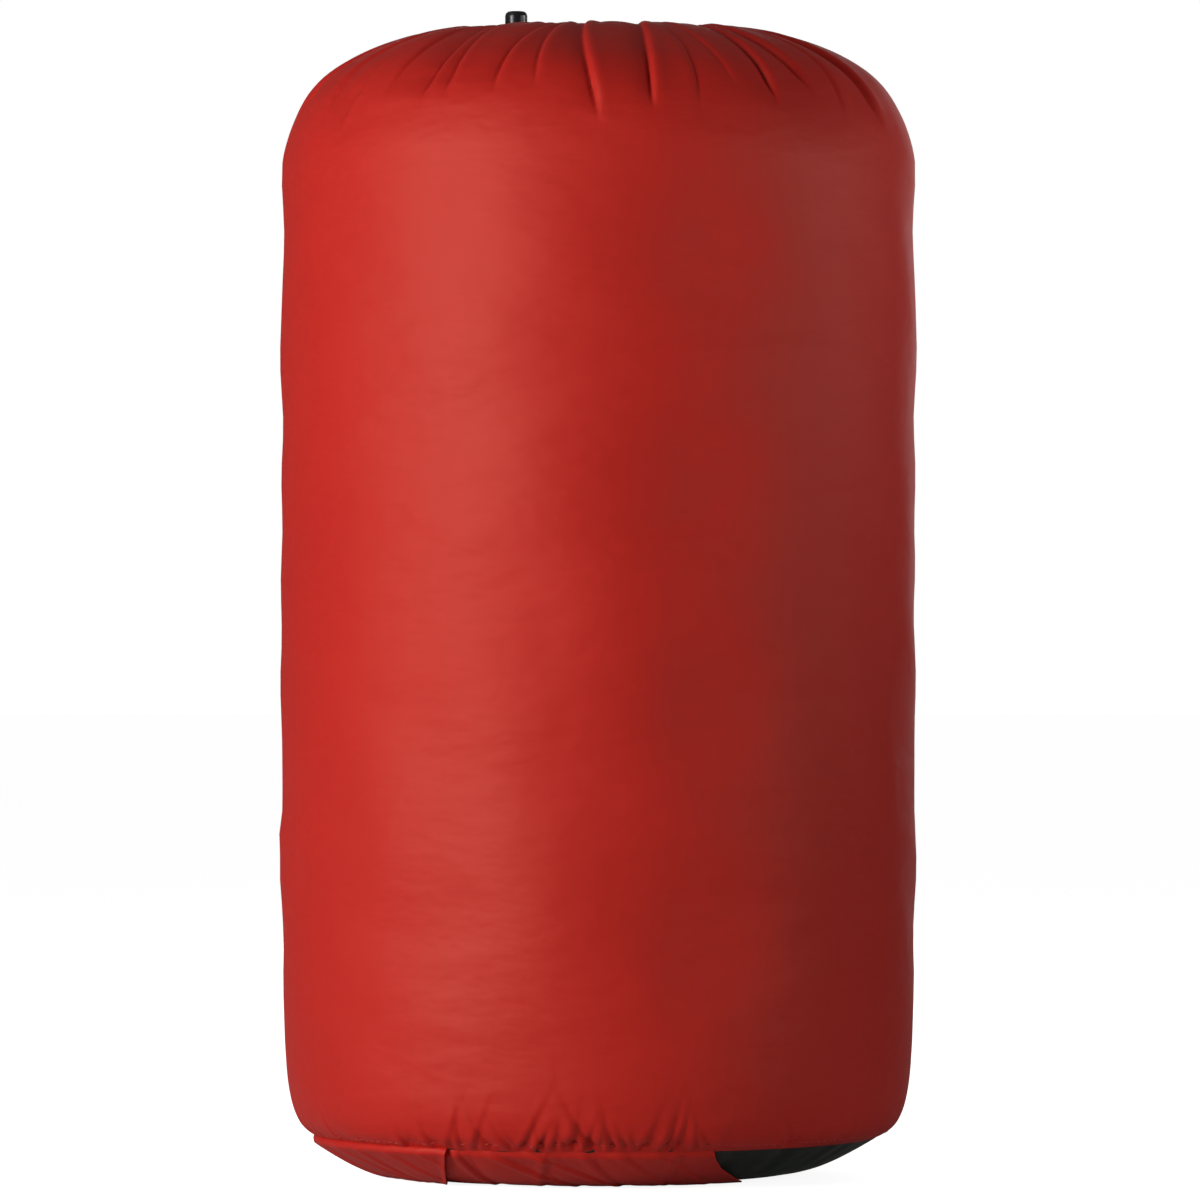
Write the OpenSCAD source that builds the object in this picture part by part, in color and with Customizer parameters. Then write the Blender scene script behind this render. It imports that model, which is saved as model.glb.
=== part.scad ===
// Rectangular sleeping bag, folded, rolled and packed in its drawstring stuff sack.
// The sack stands on its round base: +Z is up, the origin is the centre of the base on the floor, and -Y is the front.

/* [Sack] */
// Widest outside diameter of the filled sack
sack_d = 260; // [256:1:264]
// Height from the floor to the top of the filled sack
sack_h = 471; // [466:1:476]
// Thickness drawn for the sack's fabric
cloth_t = 1; // [0.8:0.1:1.2]
// Height of the seam that joins the wall to the base
seam_z = 17; // [15:1:19]

/* [Mouth] */
// Depth of the gathered recess below the top of the sack
recess_depth = 25; // [24:1:26]
// Outside radius of the bunched drawcord channel
channel_r = 17.5; // [16.5:0.5:18]
// Radius of the hole left in the drawn mouth
mouth_r = 9; // [7:0.5:10]

/* [Drawcord] */
// Diameter of the drawcord
cord_d = 2.6; // [2.4:0.1:2.8]
// Radius of the cord lock's barrel
lock_r = 6.5; // [6.2:0.1:6.8]
// How far the lock's button can be pushed in
button_travel = 3.5; // [3:0.1:3.5]

/* [Sleeping bag] */
// Radius of the empty core of the roll
core_r = 10.2; // [9:0.1:12]
// Thickness drawn for the shell and liner fabrics
bag_cloth_t = 0.5; // [0.4:0.05:0.5]
// Gap drawn between neighbouring layers
layer_gap = 0.1; // [0.1:0.05:0.15]
// Width of one zip tape
zip_tape_w = 8; // [7:0.5:9]

/* [Hidden] */

red = [0.74, 0.16, 0.13];
dark_green = [0.09, 0.11, 0.09];
black = [0.05, 0.05, 0.05];
round_fn = 96;

// ---- outlines of the sack, as [radius, height] points ----
sack_r = sack_d / 2;
seam_r = sack_r - 12;
dome_h = 62;           // height of the rounded shoulder
dome_centre_r = 30;    // radius at which the shoulder's curve would be level
dome_power = 2.3;      // squareness of the shoulder
lip_r = 56;            // radius of the rim of the recess
floor_z = sack_h - recess_depth;
base_flat_r = 86;

// Height of the shoulder at a radius: a superellipse from the level top to the upright wall
function dome_z(r) =
    let (t = min(1, (r - dome_centre_r) / (sack_r - dome_centre_r)))
    sack_h - dome_h + dome_h * pow(1 - pow(t, dome_power), 1 / dome_power);

wall_path = [
    [seam_r + 0.6, seam_z + 0.6], [sack_r - 8.2, 20.8], [sack_r - 5.6, 25.2], [sack_r - 3.6, 31.5],
    [sack_r - 2, 42], [sack_r - 0.8, 62], [sack_r, 95], [sack_r, sack_h - dome_h]
];
dome_path = [for (a = [6 : 6 : 84]) let (r = lip_r + (sack_r - lip_r) * cos(a)) [r, dome_z(r)]];
recess_path = [
    [lip_r, sack_h - 1.3], [52, sack_h - 2.8], [49, sack_h - 6.5], [47, sack_h - 13], [46, sack_h - 19],
    [44.6, floor_z + 1.6], [42, floor_z], [11, floor_z]
];
sack_path = concat(wall_path, dome_path, recess_path);

base_path = [
    [0, 0], [base_flat_r, 0], [91.5, 1], [97, 3], [102.5, 5.8], [107.5, 8.8],
    [112, 12], [115.5, 14.6], [seam_r - 0.4, seam_z - 0.6]
];

// Points at the distance d to the left of a path
function beside(path, d) = [
    for (i = [0 : len(path) - 1])
        let (a = path[max(i - 1, 0)], b = path[min(i + 1, len(path) - 1)], t = (b - a) / norm(b - a))
            path[i] + d * [-t[1], t[0]]
];
function reversed(list) = [for (i = [len(list) - 1 : -1 : 0]) list[i]];
function tail_of(list, first) = [for (i = [first : len(list) - 1]) list[i]];

// A skin between two offsets of one outline
module skin(path, from, to) {
    polygon(concat(beside(path, from), reversed(beside(path, to))));
}

// Part of a turn, from one bearing to another; bearing 0 is the front and +90 the right
module arc_of(from, to) {
    rotate([0, 0, from - 90]) rotate_extrude(angle = to - from, $fn = round_fn) children();
}

module torus(r, wire_r, z) {
    translate([0, 0, z]) rotate_extrude($fn = round_fn) translate([r, 0]) circle(r = wire_r, $fn = 24);
}

// ---- stuff sack ----
module sack_body() {
    color(red) rotate_extrude($fn = round_fn) skin(sack_path, 0, cloth_t);
}

seam_strip_w = 11;
seam_from = 36;
seam_to = sack_h - dome_h - 2;

// The lapped side seam stands just outside the wall at the back
module side_seam_strip() {
    half = asin(seam_strip_w / 2 / sack_r);
    color(red) translate([0, 0, 92])
        arc_of(180 - half, 180 + half) translate([sack_r + 0.3, 0]) square([0.8, seam_to - 92]);
}

module side_seam_thread() {
    color(red) for (side = [-1, 1])
        rotate([0, 0, side * asin(seam_strip_w * 0.32 / sack_r)])
            translate([0, sack_r + 1.5, 94]) cylinder(r = 0.3, h = seam_to - 96, $fn = 16);
}

module base_panel() {
    inner = beside(base_path, 1.2);
    color(dark_green) rotate_extrude($fn = round_fn)
        polygon(concat(base_path, reversed(tail_of(inner, 1)), [[0, 1.2]]));
}

binding_path = [for (p = base_path) if (p[0] > 90) p];
binding_lap = -32;      // bearing where the two lengths of binding meet
binding_right = 44;     // bearing where the front length ends
binding_start = -252;   // bearing where the rear length starts

module base_binding(from, to) {
    color(red) arc_of(from, to) skin(binding_path, -1.1, -0.3);
}
module base_binding_front() base_binding(binding_lap + 0.3, binding_right);
module base_binding_rear() base_binding(binding_start, binding_lap);

module base_seam_thread() {
    color(red) torus(seam_r + 0.8, 0.3, seam_z - 0.1);
}

// ---- drawn mouth ----
channel_bottom = floor_z + 0.3;
channel_top = floor_z + 17.5;
loop_r = 13.4;
loop_z = floor_z + 12;
exit_bearing = -45;     // the cord leaves the channel at the front left

// Places its children on the cord's way out of the channel, pointing outwards
module at_exit(r) {
    rotate([0, 0, exit_bearing - 90]) translate([r, 0, loop_z]) rotate([0, 90, 0]) children();
}

module drawcord_channel() {
    color(red) difference() {
        translate([0, 0, channel_bottom]) rotate_extrude($fn = round_fn) polygon([
            [mouth_r, 1.5], [mouth_r + 1.5, 0], [channel_r - 1.5, 0], [channel_r, 2],
            [channel_r - 0.8, 14.5], [channel_r - 2.8, 17], [mouth_r + 2, 17.2], [mouth_r + 0.5, 15]
        ]);
        torus(loop_r, cord_d / 2 + 0.5, loop_z);
        at_exit(loop_r) cylinder(r = 3.4, h = channel_r, $fn = 48);
    }
}

module channel_thread() {
    color(red) torus(channel_r + 0.6, 0.3, floor_z + 4);
}

module cord_eyelet() {
    color([0.2, 0.2, 0.2]) at_exit(channel_r - 1.5) difference() {
        union() {
            cylinder(r = 3.3, h = 2.6, $fn = 48);
            translate([0, 0, 2.0]) cylinder(r = 5, h = 0.9, $fn = 48);
        }
        translate([0, 0, -1]) cylinder(r = 2.9, h = 6, $fn = 48);
    }
}

module drawcord_loop() {
    color(black) torus(loop_r, cord_d / 2, loop_z);
}

// ---- free ends of the drawcord ----
// The line midway between the two strands: out of the eyelet, through the lock, over the rim and down the back
cord_x = -33.8;
lock_z = floor_z + 15.5;    // height of the cord through the lock
route = [
    [-9.9, -9.9, loop_z], [-13.5, -13.5, 458.1], [-17, -17, 458.8], [-20.2, -19.2, 459.5], [-24, -20, 460.2],
    [-28, -19, 460.8], [-31.2, -16.8, 461.2], [-33.1, -13.6, 461.4], [-33.8, -10, 461.5], [-33.8, 0, 461.5],
    [-33.8, 12, 461.5], [-33.8, 23, 461.6], [-33.8, 29, 463.2], [-33.8, 33, 466.4], [-33.8, 37, 469.8],
    [-33.9, 42, 472], [-34, 49, 472.4], [-34, 60, 470.3], [-34, 72, 467.6], [-34, 84, 464.2], [-34, 95.5, 459.6],
    [-34, 106.5, 452.6], [-34, 115.5, 444.2], [-34, 122.2, 434.4], [-34, 126.2, 423.4], [-34, 127.8, 409],
    [-34, 128, 388], [-34, 128, 364], [-34, 128, 340], [-34, 128, 316], [-34, 128.2, 292],
    [-34, 129.2, 270], [-34, 130.2, 252], [-34, 130.4, 241]
];
strand_gap = cord_d + 0.1;
side_by_side_from = 24;     // past this y the strands have turned from above each other to side by side
side_by_side_y = 70;

// How far a strand lies from the midway line: above it in the lock, beside it on the shoulder and the wall
function strand_offset(p, t) =
    let (turn = (p[1] - side_by_side_from) / (side_by_side_y - side_by_side_from), a = 90 * max(0, turn))
        turn >= 1 ? [-1, 0, 0] : cos(a) * across([0, 0, 1], t) - sin(a) * [1, 0, 0];
function strand_route(side) =
    let (t = tangents(route))
        [for (i = [0 : len(route) - 1]) route[i] + side * strand_gap / 2 * strand_offset(route[i], t[i])];

// One more point between each two, on a Catmull-Rom curve
function smooth(p) = [
    for (i = [0 : len(p) - 2])
        let (a = p[max(i - 1, 0)], b = p[i], c = p[i + 1], d = p[min(i + 2, len(p) - 1)])
            each [b, (9 * b + 9 * c - a - d) / 16],
    p[len(p) - 1]
];
function unit(v) = v / norm(v);
function across(v, t) = unit(v - (v * t) * t);
function tangents(p) = [for (i = [0 : len(p) - 1]) unit(p[min(i + 1, len(p) - 1)] - p[max(i - 1, 0)])];
// Carries one sideways direction along the line without twisting it
function sideways(t, list) =
    len(list) == len(t) ? list : sideways(t, concat(list, [across(list[len(list) - 1], t[len(list)])]));

tube_sides = 8;
module tube(line, r) {
    t = tangents(line);
    u = sideways(t, [across([0, 0, 1], t[0])]);
    rings = [
        for (i = [0 : len(line) - 1]) let (w = cross(t[i], u[i]))
            for (k = [0 : tube_sides - 1]) let (a = 360 * k / tube_sides)
                line[i] + r * (cos(a) * u[i] + sin(a) * w)
    ];
    last = (len(line) - 1) * tube_sides;
    walls = [
        for (i = [0 : len(line) - 2]) for (k = [0 : tube_sides - 1])
            let (a = i * tube_sides + k, b = i * tube_sides + (k + 1) % tube_sides)
                [a, a + tube_sides, b + tube_sides, b]
    ];
    ends = [[for (k = [0 : tube_sides - 1]) k], [for (k = [tube_sides - 1 : -1 : 0]) last + k]];
    polyhedron(rings, concat(walls, ends));
}

module drawcord_tail_a() {
    color(black) tube(smooth(strand_route(1)), cord_d / 2);
}
module drawcord_tail_b() {
    color(black) tube(smooth(strand_route(-1)), cord_d / 2);
}
module drawcord_knot() {
    color(black) translate([-34, 130.2, 255]) rotate_extrude($fn = 48)
        polygon([[0, -5], [2.4, -4.4], [3.7, -2.4], [4, 0], [3.7, 2.4], [2.4, 4.4], [0, 5]]);
}

// ---- cord lock: a barrel, a sprung button, and one slot through both for the two strands ----
lock_bottom = floor_z + 0.7;
lock_top = floor_z + 23;
bore_r = 4.95;
button_r = 4.6;
spring_floor = floor_z + 2;
button_bottom = floor_z + 9;
button_top = floor_z + 32;
slot_w = cord_d + 0.9;
cords_half = strand_gap / 2 + cord_d / 2;

module at_lock() translate([cord_x, 0, 0]) children();

module cord_slot(low, high, length) {
    translate([-slot_w / 2, -length / 2, low]) cube([slot_w, length, high - low]);
}

module cord_lock_body() {
    color(black) at_lock() difference() {
        translate([0, 0, lock_bottom]) rotate_extrude($fn = round_fn) polygon([
            [0, 0], [lock_r - 1.4, 0], [lock_r - 0.4, 0.5], [lock_r, 1.6],
            [lock_r, lock_top - lock_bottom - 1.6], [lock_r - 0.5, lock_top - lock_bottom - 0.4],
            [lock_r - 1.2, lock_top - lock_bottom], [0, lock_top - lock_bottom]
        ]);
        translate([0, 0, spring_floor]) cylinder(r = bore_r, h = 40, $fn = round_fn);
        cord_slot(lock_z - cords_half - 0.5, lock_z + cords_half + 0.5, 4 * lock_r);
    }
}

module cord_lock_button() {
    color(black) at_lock() difference() {
        translate([0, 0, button_bottom]) rotate_extrude($fn = round_fn) polygon([
            [0, 0], [button_r, 0], [button_r, 21.1], [button_r - 0.3, 22.1], [button_r - 1.1, 22.8],
            [button_r - 2, button_top - button_bottom], [0, button_top - button_bottom]
        ]);
        cord_slot(lock_z - cords_half - 0.4, lock_z + cords_half + 0.4 + button_travel, 4 * lock_r);
    }
}

// The coil spring's outer shape, between the barrel's floor and the button
module cord_lock_spring() {
    color("silver") at_lock() translate([0, 0, spring_floor + 0.1]) difference() {
        cylinder(r = 4, h = button_bottom - spring_floor - 0.2, $fn = 48);
        translate([0, 0, -1]) cylinder(r = 3.2, h = 20, $fn = 48);
    }
}

module care_label() {
    label_bearing = 180 - asin((seam_strip_w / 2 + 15) / sack_r);
    color("white") arc_of(label_bearing - 6, label_bearing + 5) translate([sack_r + 0.3, 96]) square([0.5, 42]);
}

// ---- the sleeping bag: a quilt folded double and zipped, folded again, and rolled ----
// The roll is a spiral of half turns. Even ones are the front half, centred on the origin of the roll, and
// odd ones the back half, centred half a pitch to the right, so that each meets the next exactly.
half_turns = 9;
roll_r = sack_r - 5.2;
pitch = (roll_r - core_r) / ((half_turns + 1) / 2);
roll_top = sack_h - dome_h + 18;
roll_shift = pitch / 8;
puff = [3, 3, 3, 6, 10, 16, 23, 36, 36];  // height of each half turn's lower end, which bulges into the base

module half_turn(k) {
    odd = k % 2;
    translate([odd * pitch / 2, roll_shift, 0]) rotate([0, 0, odd ? 0 : 180])
        rotate_extrude(angle = 180, $fn = round_fn)
            translate([core_r + k * pitch / 2, 0]) children();
}

// A folded layer seen in section, as the path that its middle takes through the four thicknesses of quilt.
// back and front are how deep the layer lies in the lower quilt and in the upper one.
function folds(back, front, t, low) = [
    [back + t / 2, roll_top - 0.2], [back + t / 2, low + back + t / 2],
    [pitch - back - t / 2, low + back + t / 2], [pitch - back - t / 2, roll_top - back - t / 2],
    [pitch - front - t / 2, roll_top - back - t / 2], [pitch - front - t / 2, low + front + t / 2],
    [front + t / 2, low + front + t / 2], [front + t / 2, roll_top - 0.2]
];
function left_of(a, b) = let (d = unit(b - a)) [-d[1], d[0]];
// One edge of a ribbon whose path turns only through right angles
function ribbon_edge(p, d) = [
    for (i = [0 : len(p) - 1])
        p[i] + d * (i == 0 ? left_of(p[0], p[1])
            : i == len(p) - 1 ? left_of(p[i - 1], p[i])
            : left_of(p[i - 1], p[i]) + left_of(p[i], p[i + 1]))
];
module layer(back, front, t) {
    for (k = [0 : half_turns - 1]) half_turn(k) {
        path = folds(back, front, t, puff[k]);
        polygon(concat(ribbon_edge(path, t / 2), reversed(ribbon_edge(path, -t / 2))));
    }
}

quilt_t = pitch / 4;
fill_t = quilt_t - 2 * bag_cloth_t - 3.5 * layer_gap;
shell_depth = layer_gap;
fill_depth = shell_depth + bag_cloth_t + layer_gap;
liner_depth = fill_depth + fill_t + layer_gap;
mirror_depth = pitch / 2;

module bag_shell() {
    color(dark_green) layer(shell_depth, mirror_depth - shell_depth - bag_cloth_t, bag_cloth_t);
}
module bag_insulation() {
    color("white") layer(fill_depth, mirror_depth - fill_depth - fill_t, fill_t);
}
module bag_liner() {
    color([0.35, 0.37, 0.36]) layer(liner_depth, mirror_depth - liner_depth - bag_cloth_t, bag_cloth_t);
}

// ---- zip along the open edge, which is the inner half of the folded stack ----
zip_s = mirror_depth / 2;       // where the chain lies across the pitch
tape_low = roll_top + 0.3;
tape_t = 0.7;
chain_low = tape_low + tape_t + 0.1;
chain_h = 1.9;
chain_w = 4.6;

module zip_strip(from, to, low, high) {
    for (k = [0 : half_turns - 1]) half_turn(k) translate([from, low]) square([to - from, high - low]);
}
module zip_tape_inner() {
    color(black) zip_strip(zip_s - zip_tape_w / 2 - 0.7, zip_s - 0.2, tape_low, tape_low + tape_t);
}
module zip_tape_outer() {
    color(black) zip_strip(zip_s + 0.2, zip_s + zip_tape_w / 2 + 0.7, tape_low, tape_low + tape_t);
}
module zip_chain() {
    color(black) zip_strip(zip_s - chain_w / 2, zip_s + chain_w / 2, chain_low, chain_low + chain_h);
}

// Places its children on the zip, on one half turn, at an angle about the middle of the roll
head_turn = half_turns - 1;
head_r = core_r + head_turn * pitch / 2 + zip_s;
foot_r = core_r + zip_s;
head_angle = 194;
foot_angle = 325;
module on_zip(r, angle) {
    translate([0, roll_shift, 0]) rotate([0, 0, angle]) translate([r, 0, 0]) children();
}

slider_low = chain_low - 0.1;
slider_high = chain_low + chain_h + 1.5;
// A slider straddles the chain: a roof, two skirts that stay above the tapes, and a bridge for the pull
module slider(r, angle, length) {
    roof = chain_low + chain_h + 0.4;
    color("dimgray") on_zip(r, angle) {
        for (side = [-1, 1]) translate([side > 0 ? 2.9 : -4.3, -length / 2, slider_low + 0.2])
            cube([1.4, length, slider_high - slider_low - 0.2]);
        translate([-4.3, -length / 2, roof]) cube([8.6, length, slider_high - roof]);
        difference() {
            translate([-1.2, -3, slider_high]) cube([2.4, 6, 2.6]);
            translate([-5, 0, slider_high + 1.2]) rotate([0, 90, 0]) cylinder(r = 0.68, h = 10, $fn = 32);
        }
    }
}
module head_zip_slider() slider(head_r, head_angle, 10);
module foot_zip_slider() slider(foot_r, foot_angle, 7);

// A pull hangs from a wire that passes through the slider's bridge and lies back along the zip
module pull(r, angle, length) {
    wire_r = 0.6;
    tab_low = slider_high + 0.5;
    color(black) on_zip(r, angle) {
        translate([-3, 0, slider_high + 1.2]) rotate([0, 90, 0]) cylinder(r = wire_r, h = 6, $fn = 32);
        for (side = [-1, 1]) translate([side * 2.4 - 0.6, -0.6, slider_high + 0.6]) cube([1.2, 6.4, 1.2]);
        translate([-3, 5, tab_low]) cube([6, length - 5, 1.4]);
    }
}
module head_zip_pull() pull(head_r, head_angle, 24);
module foot_zip_pull() pull(foot_r, foot_angle, 13);

// Crimped end stops at both ends of the chain
module zip_stops() {
    stop_low = chain_low + chain_h + 0.1;
    color("dimgray") {
        on_zip(head_r, 181.5) translate([-2.6, -1.2, stop_low]) cube([5.2, 2.4, 1.1]);
        on_zip(foot_r, 354) translate([-2.6, -1.1, stop_low]) cube([5.2, 2.2, 1.1]);
    }
}

// Hook-and-loop tab sewn on the roll's end, beside the zip's head
module closure_tab() {
    color(black) on_zip(head_r + 11, 183.5) translate([-4, -11, tape_low]) cube([8, 22, 1.6]);
}

module tie_ribbon(z) {
    color(black) translate([0, 0, z]) rotate_extrude($fn = round_fn)
        translate([roll_r + 0.7, 0]) square([0.9, 20]);
}
module tie_ribbon_upper() tie_ribbon(310);
module tie_ribbon_lower() tie_ribbon(130);

sack_body();
side_seam_strip();
side_seam_thread();
base_panel();
base_binding_front();
base_binding_rear();
base_seam_thread();
drawcord_channel();
channel_thread();
cord_eyelet();
drawcord_loop();
drawcord_tail_a();
drawcord_tail_b();
drawcord_knot();
cord_lock_body();
cord_lock_button();
cord_lock_spring();
care_label();
bag_shell();
bag_insulation();
bag_liner();
zip_tape_inner();
zip_tape_outer();
zip_chain();
head_zip_slider();
head_zip_pull();
foot_zip_slider();
foot_zip_pull();
zip_stops();
closure_tab();
tie_ribbon_upper();
tie_ribbon_lower();
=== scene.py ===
import math
import bpy
import numpy as np
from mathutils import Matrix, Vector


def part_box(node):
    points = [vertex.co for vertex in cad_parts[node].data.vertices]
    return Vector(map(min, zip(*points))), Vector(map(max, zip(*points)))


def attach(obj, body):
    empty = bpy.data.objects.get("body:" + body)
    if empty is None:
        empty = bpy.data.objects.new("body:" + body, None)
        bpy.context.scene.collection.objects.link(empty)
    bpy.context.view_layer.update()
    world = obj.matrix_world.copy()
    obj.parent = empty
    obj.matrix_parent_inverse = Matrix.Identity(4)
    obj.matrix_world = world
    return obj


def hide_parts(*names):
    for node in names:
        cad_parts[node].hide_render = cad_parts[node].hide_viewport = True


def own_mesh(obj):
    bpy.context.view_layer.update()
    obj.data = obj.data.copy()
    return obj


# A rectangular sleeping bag, rolled and packed upright in its red drawstring stuff sack.
# Metres throughout. Bearings go round the sack in degrees: 0 is the front, +90 the right, 180 the back.

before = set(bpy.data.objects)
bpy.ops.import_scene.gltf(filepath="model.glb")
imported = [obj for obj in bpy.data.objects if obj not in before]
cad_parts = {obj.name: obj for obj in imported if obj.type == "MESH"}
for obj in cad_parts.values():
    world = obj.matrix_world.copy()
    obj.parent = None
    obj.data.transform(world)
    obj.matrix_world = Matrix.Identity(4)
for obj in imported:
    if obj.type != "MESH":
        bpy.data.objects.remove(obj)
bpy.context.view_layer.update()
scene = bpy.context.scene
print("frame loaded:", len(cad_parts), "nodes")

mm = 0.001
sackLow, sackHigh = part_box("sack_body")
panelLow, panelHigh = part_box("base_panel")
sackRadius = (sackHigh.x - sackLow.x) / 2
sackTop = sackHigh.z
seamRadius = (panelHigh.x - panelLow.x) / 2
seamZ = panelHigh.z
shoulderZ = sackTop - 0.062
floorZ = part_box("drawcord_channel")[0].z - 0.0003      # floor of the recess round the mouth


def smoothStep(x, low, high):
    t = np.clip((x - low) / (high - low), 0, 1)
    return t * t * (3 - 2 * t)


# Catmull-Rom: each span between two points is a cubic whose end slopes run parallel to the neighbours' chord
def splineThrough(points, steps):
    p = np.asarray(points, float)
    p = np.vstack([2 * p[0] - p[1], p, 2 * p[-1] - p[-2]])
    t = (np.arange(steps) / steps)[None, :, None]
    a, b, c, d = (p[i:len(p) - 3 + i, None, :] for i in range(4))
    curve = 0.5 * (2 * b + (c - a) * t + (2 * a - 5 * b + 4 * c - d) * t ** 2 + (3 * b - a - 3 * c + d) * t ** 3)
    return np.vstack([curve.reshape(-1, p.shape[1]), p[-2]])


def arcLength(line):
    return np.concatenate([[0], np.cumsum(np.linalg.norm(np.diff(line, axis=0), axis=1))])


def resampled(line, count):
    s = arcLength(line)
    at = np.linspace(0, s[-1], count)
    return np.stack([np.interp(at, s, line[:, k]) for k in range(line.shape[1])], 1)


def unitRows(v):
    return v / np.maximum(np.linalg.norm(v, axis=-1, keepdims=True), 1e-12)


# A grid of points, rows by columns, becomes quads; wrapped ways are joined without a seam, and the uv is stored
# for each corner
def gridObject(name, grid, uv=None, wrapColumns=False, wrapRows=False, closeEnds=False):
    rows, columns = grid.shape[:2]
    r, c = np.meshgrid(np.arange(rows if wrapRows else rows - 1),
                       np.arange(columns if wrapColumns else columns - 1), indexing="ij")
    r2, c2 = (r + 1) % rows, (c + 1) % columns
    quads = np.stack([r * columns + c, r * columns + c2, r2 * columns + c2, r2 * columns + c], -1).reshape(-1, 4)
    faces = quads.tolist()
    if closeEnds:
        faces.append(list(range(columns))[::-1])
        faces.append([(rows - 1) * columns + i for i in range(columns)])
    mesh = bpy.data.meshes.new(name)
    mesh.from_pydata(grid.reshape(-1, 3), [], faces)
    if uv is not None:
        du = uv[0, 1] - uv[0, 0]
        dv = uv[1, 0] - uv[0, 0]
        first = uv[r, c]
        corners = np.stack([first, uv[r, c] + du, uv[r, c] + du + dv, uv[r, c] + dv], 2)
        if not (wrapColumns or wrapRows):
            corners = np.stack([uv[r, c], uv[r, c2], uv[r2, c2], uv[r2, c]], 2)
        elif wrapColumns:
            corners[:, :, 0] = uv[r, c]
            corners[:, :, 3] = uv[r2, c]
            last = (c2 == 0)[..., None]
            corners[:, :, 1] = np.where(last, uv[r, c] + du, uv[r, c2])
            corners[:, :, 2] = np.where(last, uv[r2, c] + du, uv[r2, c2])
        flat = np.zeros((len(mesh.loops), 2))
        flat[:quads.size] = corners.reshape(-1, 2)
        mesh.uv_layers.new(name="clothMap").data.foreach_set("uv", flat.astype(np.float32).ravel())
    mesh.polygons.foreach_set("use_smooth", np.ones(len(mesh.polygons), bool))
    mesh.update()
    piece = bpy.data.objects.new(name, mesh)
    scene.collection.objects.link(piece)
    return piece


# Frames carried along a line without twist: the start direction is projected off each new tangent in turn
def carriedFrames(line, start):
    tangent = unitRows(np.gradient(line, axis=0))
    side = np.zeros_like(line)
    current = np.asarray(start, float)
    for i in range(len(line)):
        current = current - tangent[i] * (current @ tangent[i])
        current = current / np.linalg.norm(current)
        side[i] = current
    return tangent, side, np.cross(tangent, side)


# A round tube: rings of the given radius round each point of the line; the ends are rounded by shrinking rings
def tubeObject(name, line, radius, sides, start, roundEnds=True):
    tangent, side, third = carriedFrames(line, start)
    r = np.full(len(line), radius)
    centre = line.copy()
    if roundEnds:
        cap = np.radians([78, 55, 28])
        headPoints = line[0] - tangent[0] * radius * np.sin(cap)[:, None]
        tailPoints = line[-1] + tangent[-1] * radius * np.sin(cap[::-1])[:, None]
        centre = np.vstack([headPoints, line, tailPoints])
        r = np.concatenate([radius * np.cos(cap), r, radius * np.cos(cap[::-1])])
        side = np.vstack([np.repeat(side[:1], 3, 0), side, np.repeat(side[-1:], 3, 0)])
        third = np.vstack([np.repeat(third[:1], 3, 0), third, np.repeat(third[-1:], 3, 0)])
    angle = np.linspace(0, 2 * np.pi, sides, endpoint=False)
    grid = centre[:, None] + r[:, None, None] * (np.cos(angle)[None, :, None] * side[:, None]
                                                 + np.sin(angle)[None, :, None] * third[:, None])
    along = arcLength(centre)
    uv = np.stack(np.broadcast_arrays((angle / (2 * np.pi))[None, :], along[:, None]), -1)
    return gridObject(name, grid, uv, wrapColumns=True, closeEnds=True)


def dressed(piece, material):
    piece.data.materials.clear()
    piece.data.materials.append(material)
    return piece


def newGroup(name, inputs, outputs):
    group = bpy.data.node_groups.new(name, "ShaderNodeTree")
    for label, kind, value in inputs:
        socket = group.interface.new_socket(name=label, in_out="INPUT", socket_type=kind)
        if value is not None:
            socket.default_value = value
    for label, kind in outputs:
        group.interface.new_socket(name=label, in_out="OUTPUT", socket_type=kind)
    return group, group.nodes.new("NodeGroupInput"), group.nodes.new("NodeGroupOutput")


def mathNode(tree, operation, a, b=None, c=None):
    node = tree.nodes.new("ShaderNodeMath")
    node.operation = operation
    for i, value in enumerate((a, b, c)):
        if value is None:
            continue
        if isinstance(value, (int, float)):
            node.inputs[i].default_value = value
        else:
            tree.links.new(value, node.inputs[i])
    return node.outputs[0]


# Plain weave: the product of two sines of the cloth map, one for each thread direction, in metres of height; the same
# product is also given out as painted shade, darker where the weave lies low
def makeWeaveGroup():
    group, given, result = newGroup("plainWeave", [("Map", "NodeSocketVector", None),
                                                   ("Thread", "NodeSocketFloat", 0.0004),
                                                   ("Depth", "NodeSocketFloat", 0.00002)],
                                    [("Height", "NodeSocketFloat"), ("PaintedShade", "NodeSocketFloat")])
    split = group.nodes.new("ShaderNodeSeparateXYZ")
    group.links.new(given.outputs["Map"], split.inputs[0])
    turn = mathNode(group, "DIVIDE", math.pi, given.outputs["Thread"])
    warp = mathNode(group, "SINE", mathNode(group, "MULTIPLY", split.outputs["X"], turn))
    weft = mathNode(group, "SINE", mathNode(group, "MULTIPLY", split.outputs["Y"], turn))
    crossing = mathNode(group, "MULTIPLY", warp, weft)
    group.links.new(mathNode(group, "MULTIPLY", crossing, given.outputs["Depth"]), result.inputs["Height"])
    # painted shade: the weave's low points get a darker colour
    group.links.new(mathNode(group, "MULTIPLY_ADD", crossing, 0.5, 0.5), result.inputs["PaintedShade"])
    return group


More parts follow.
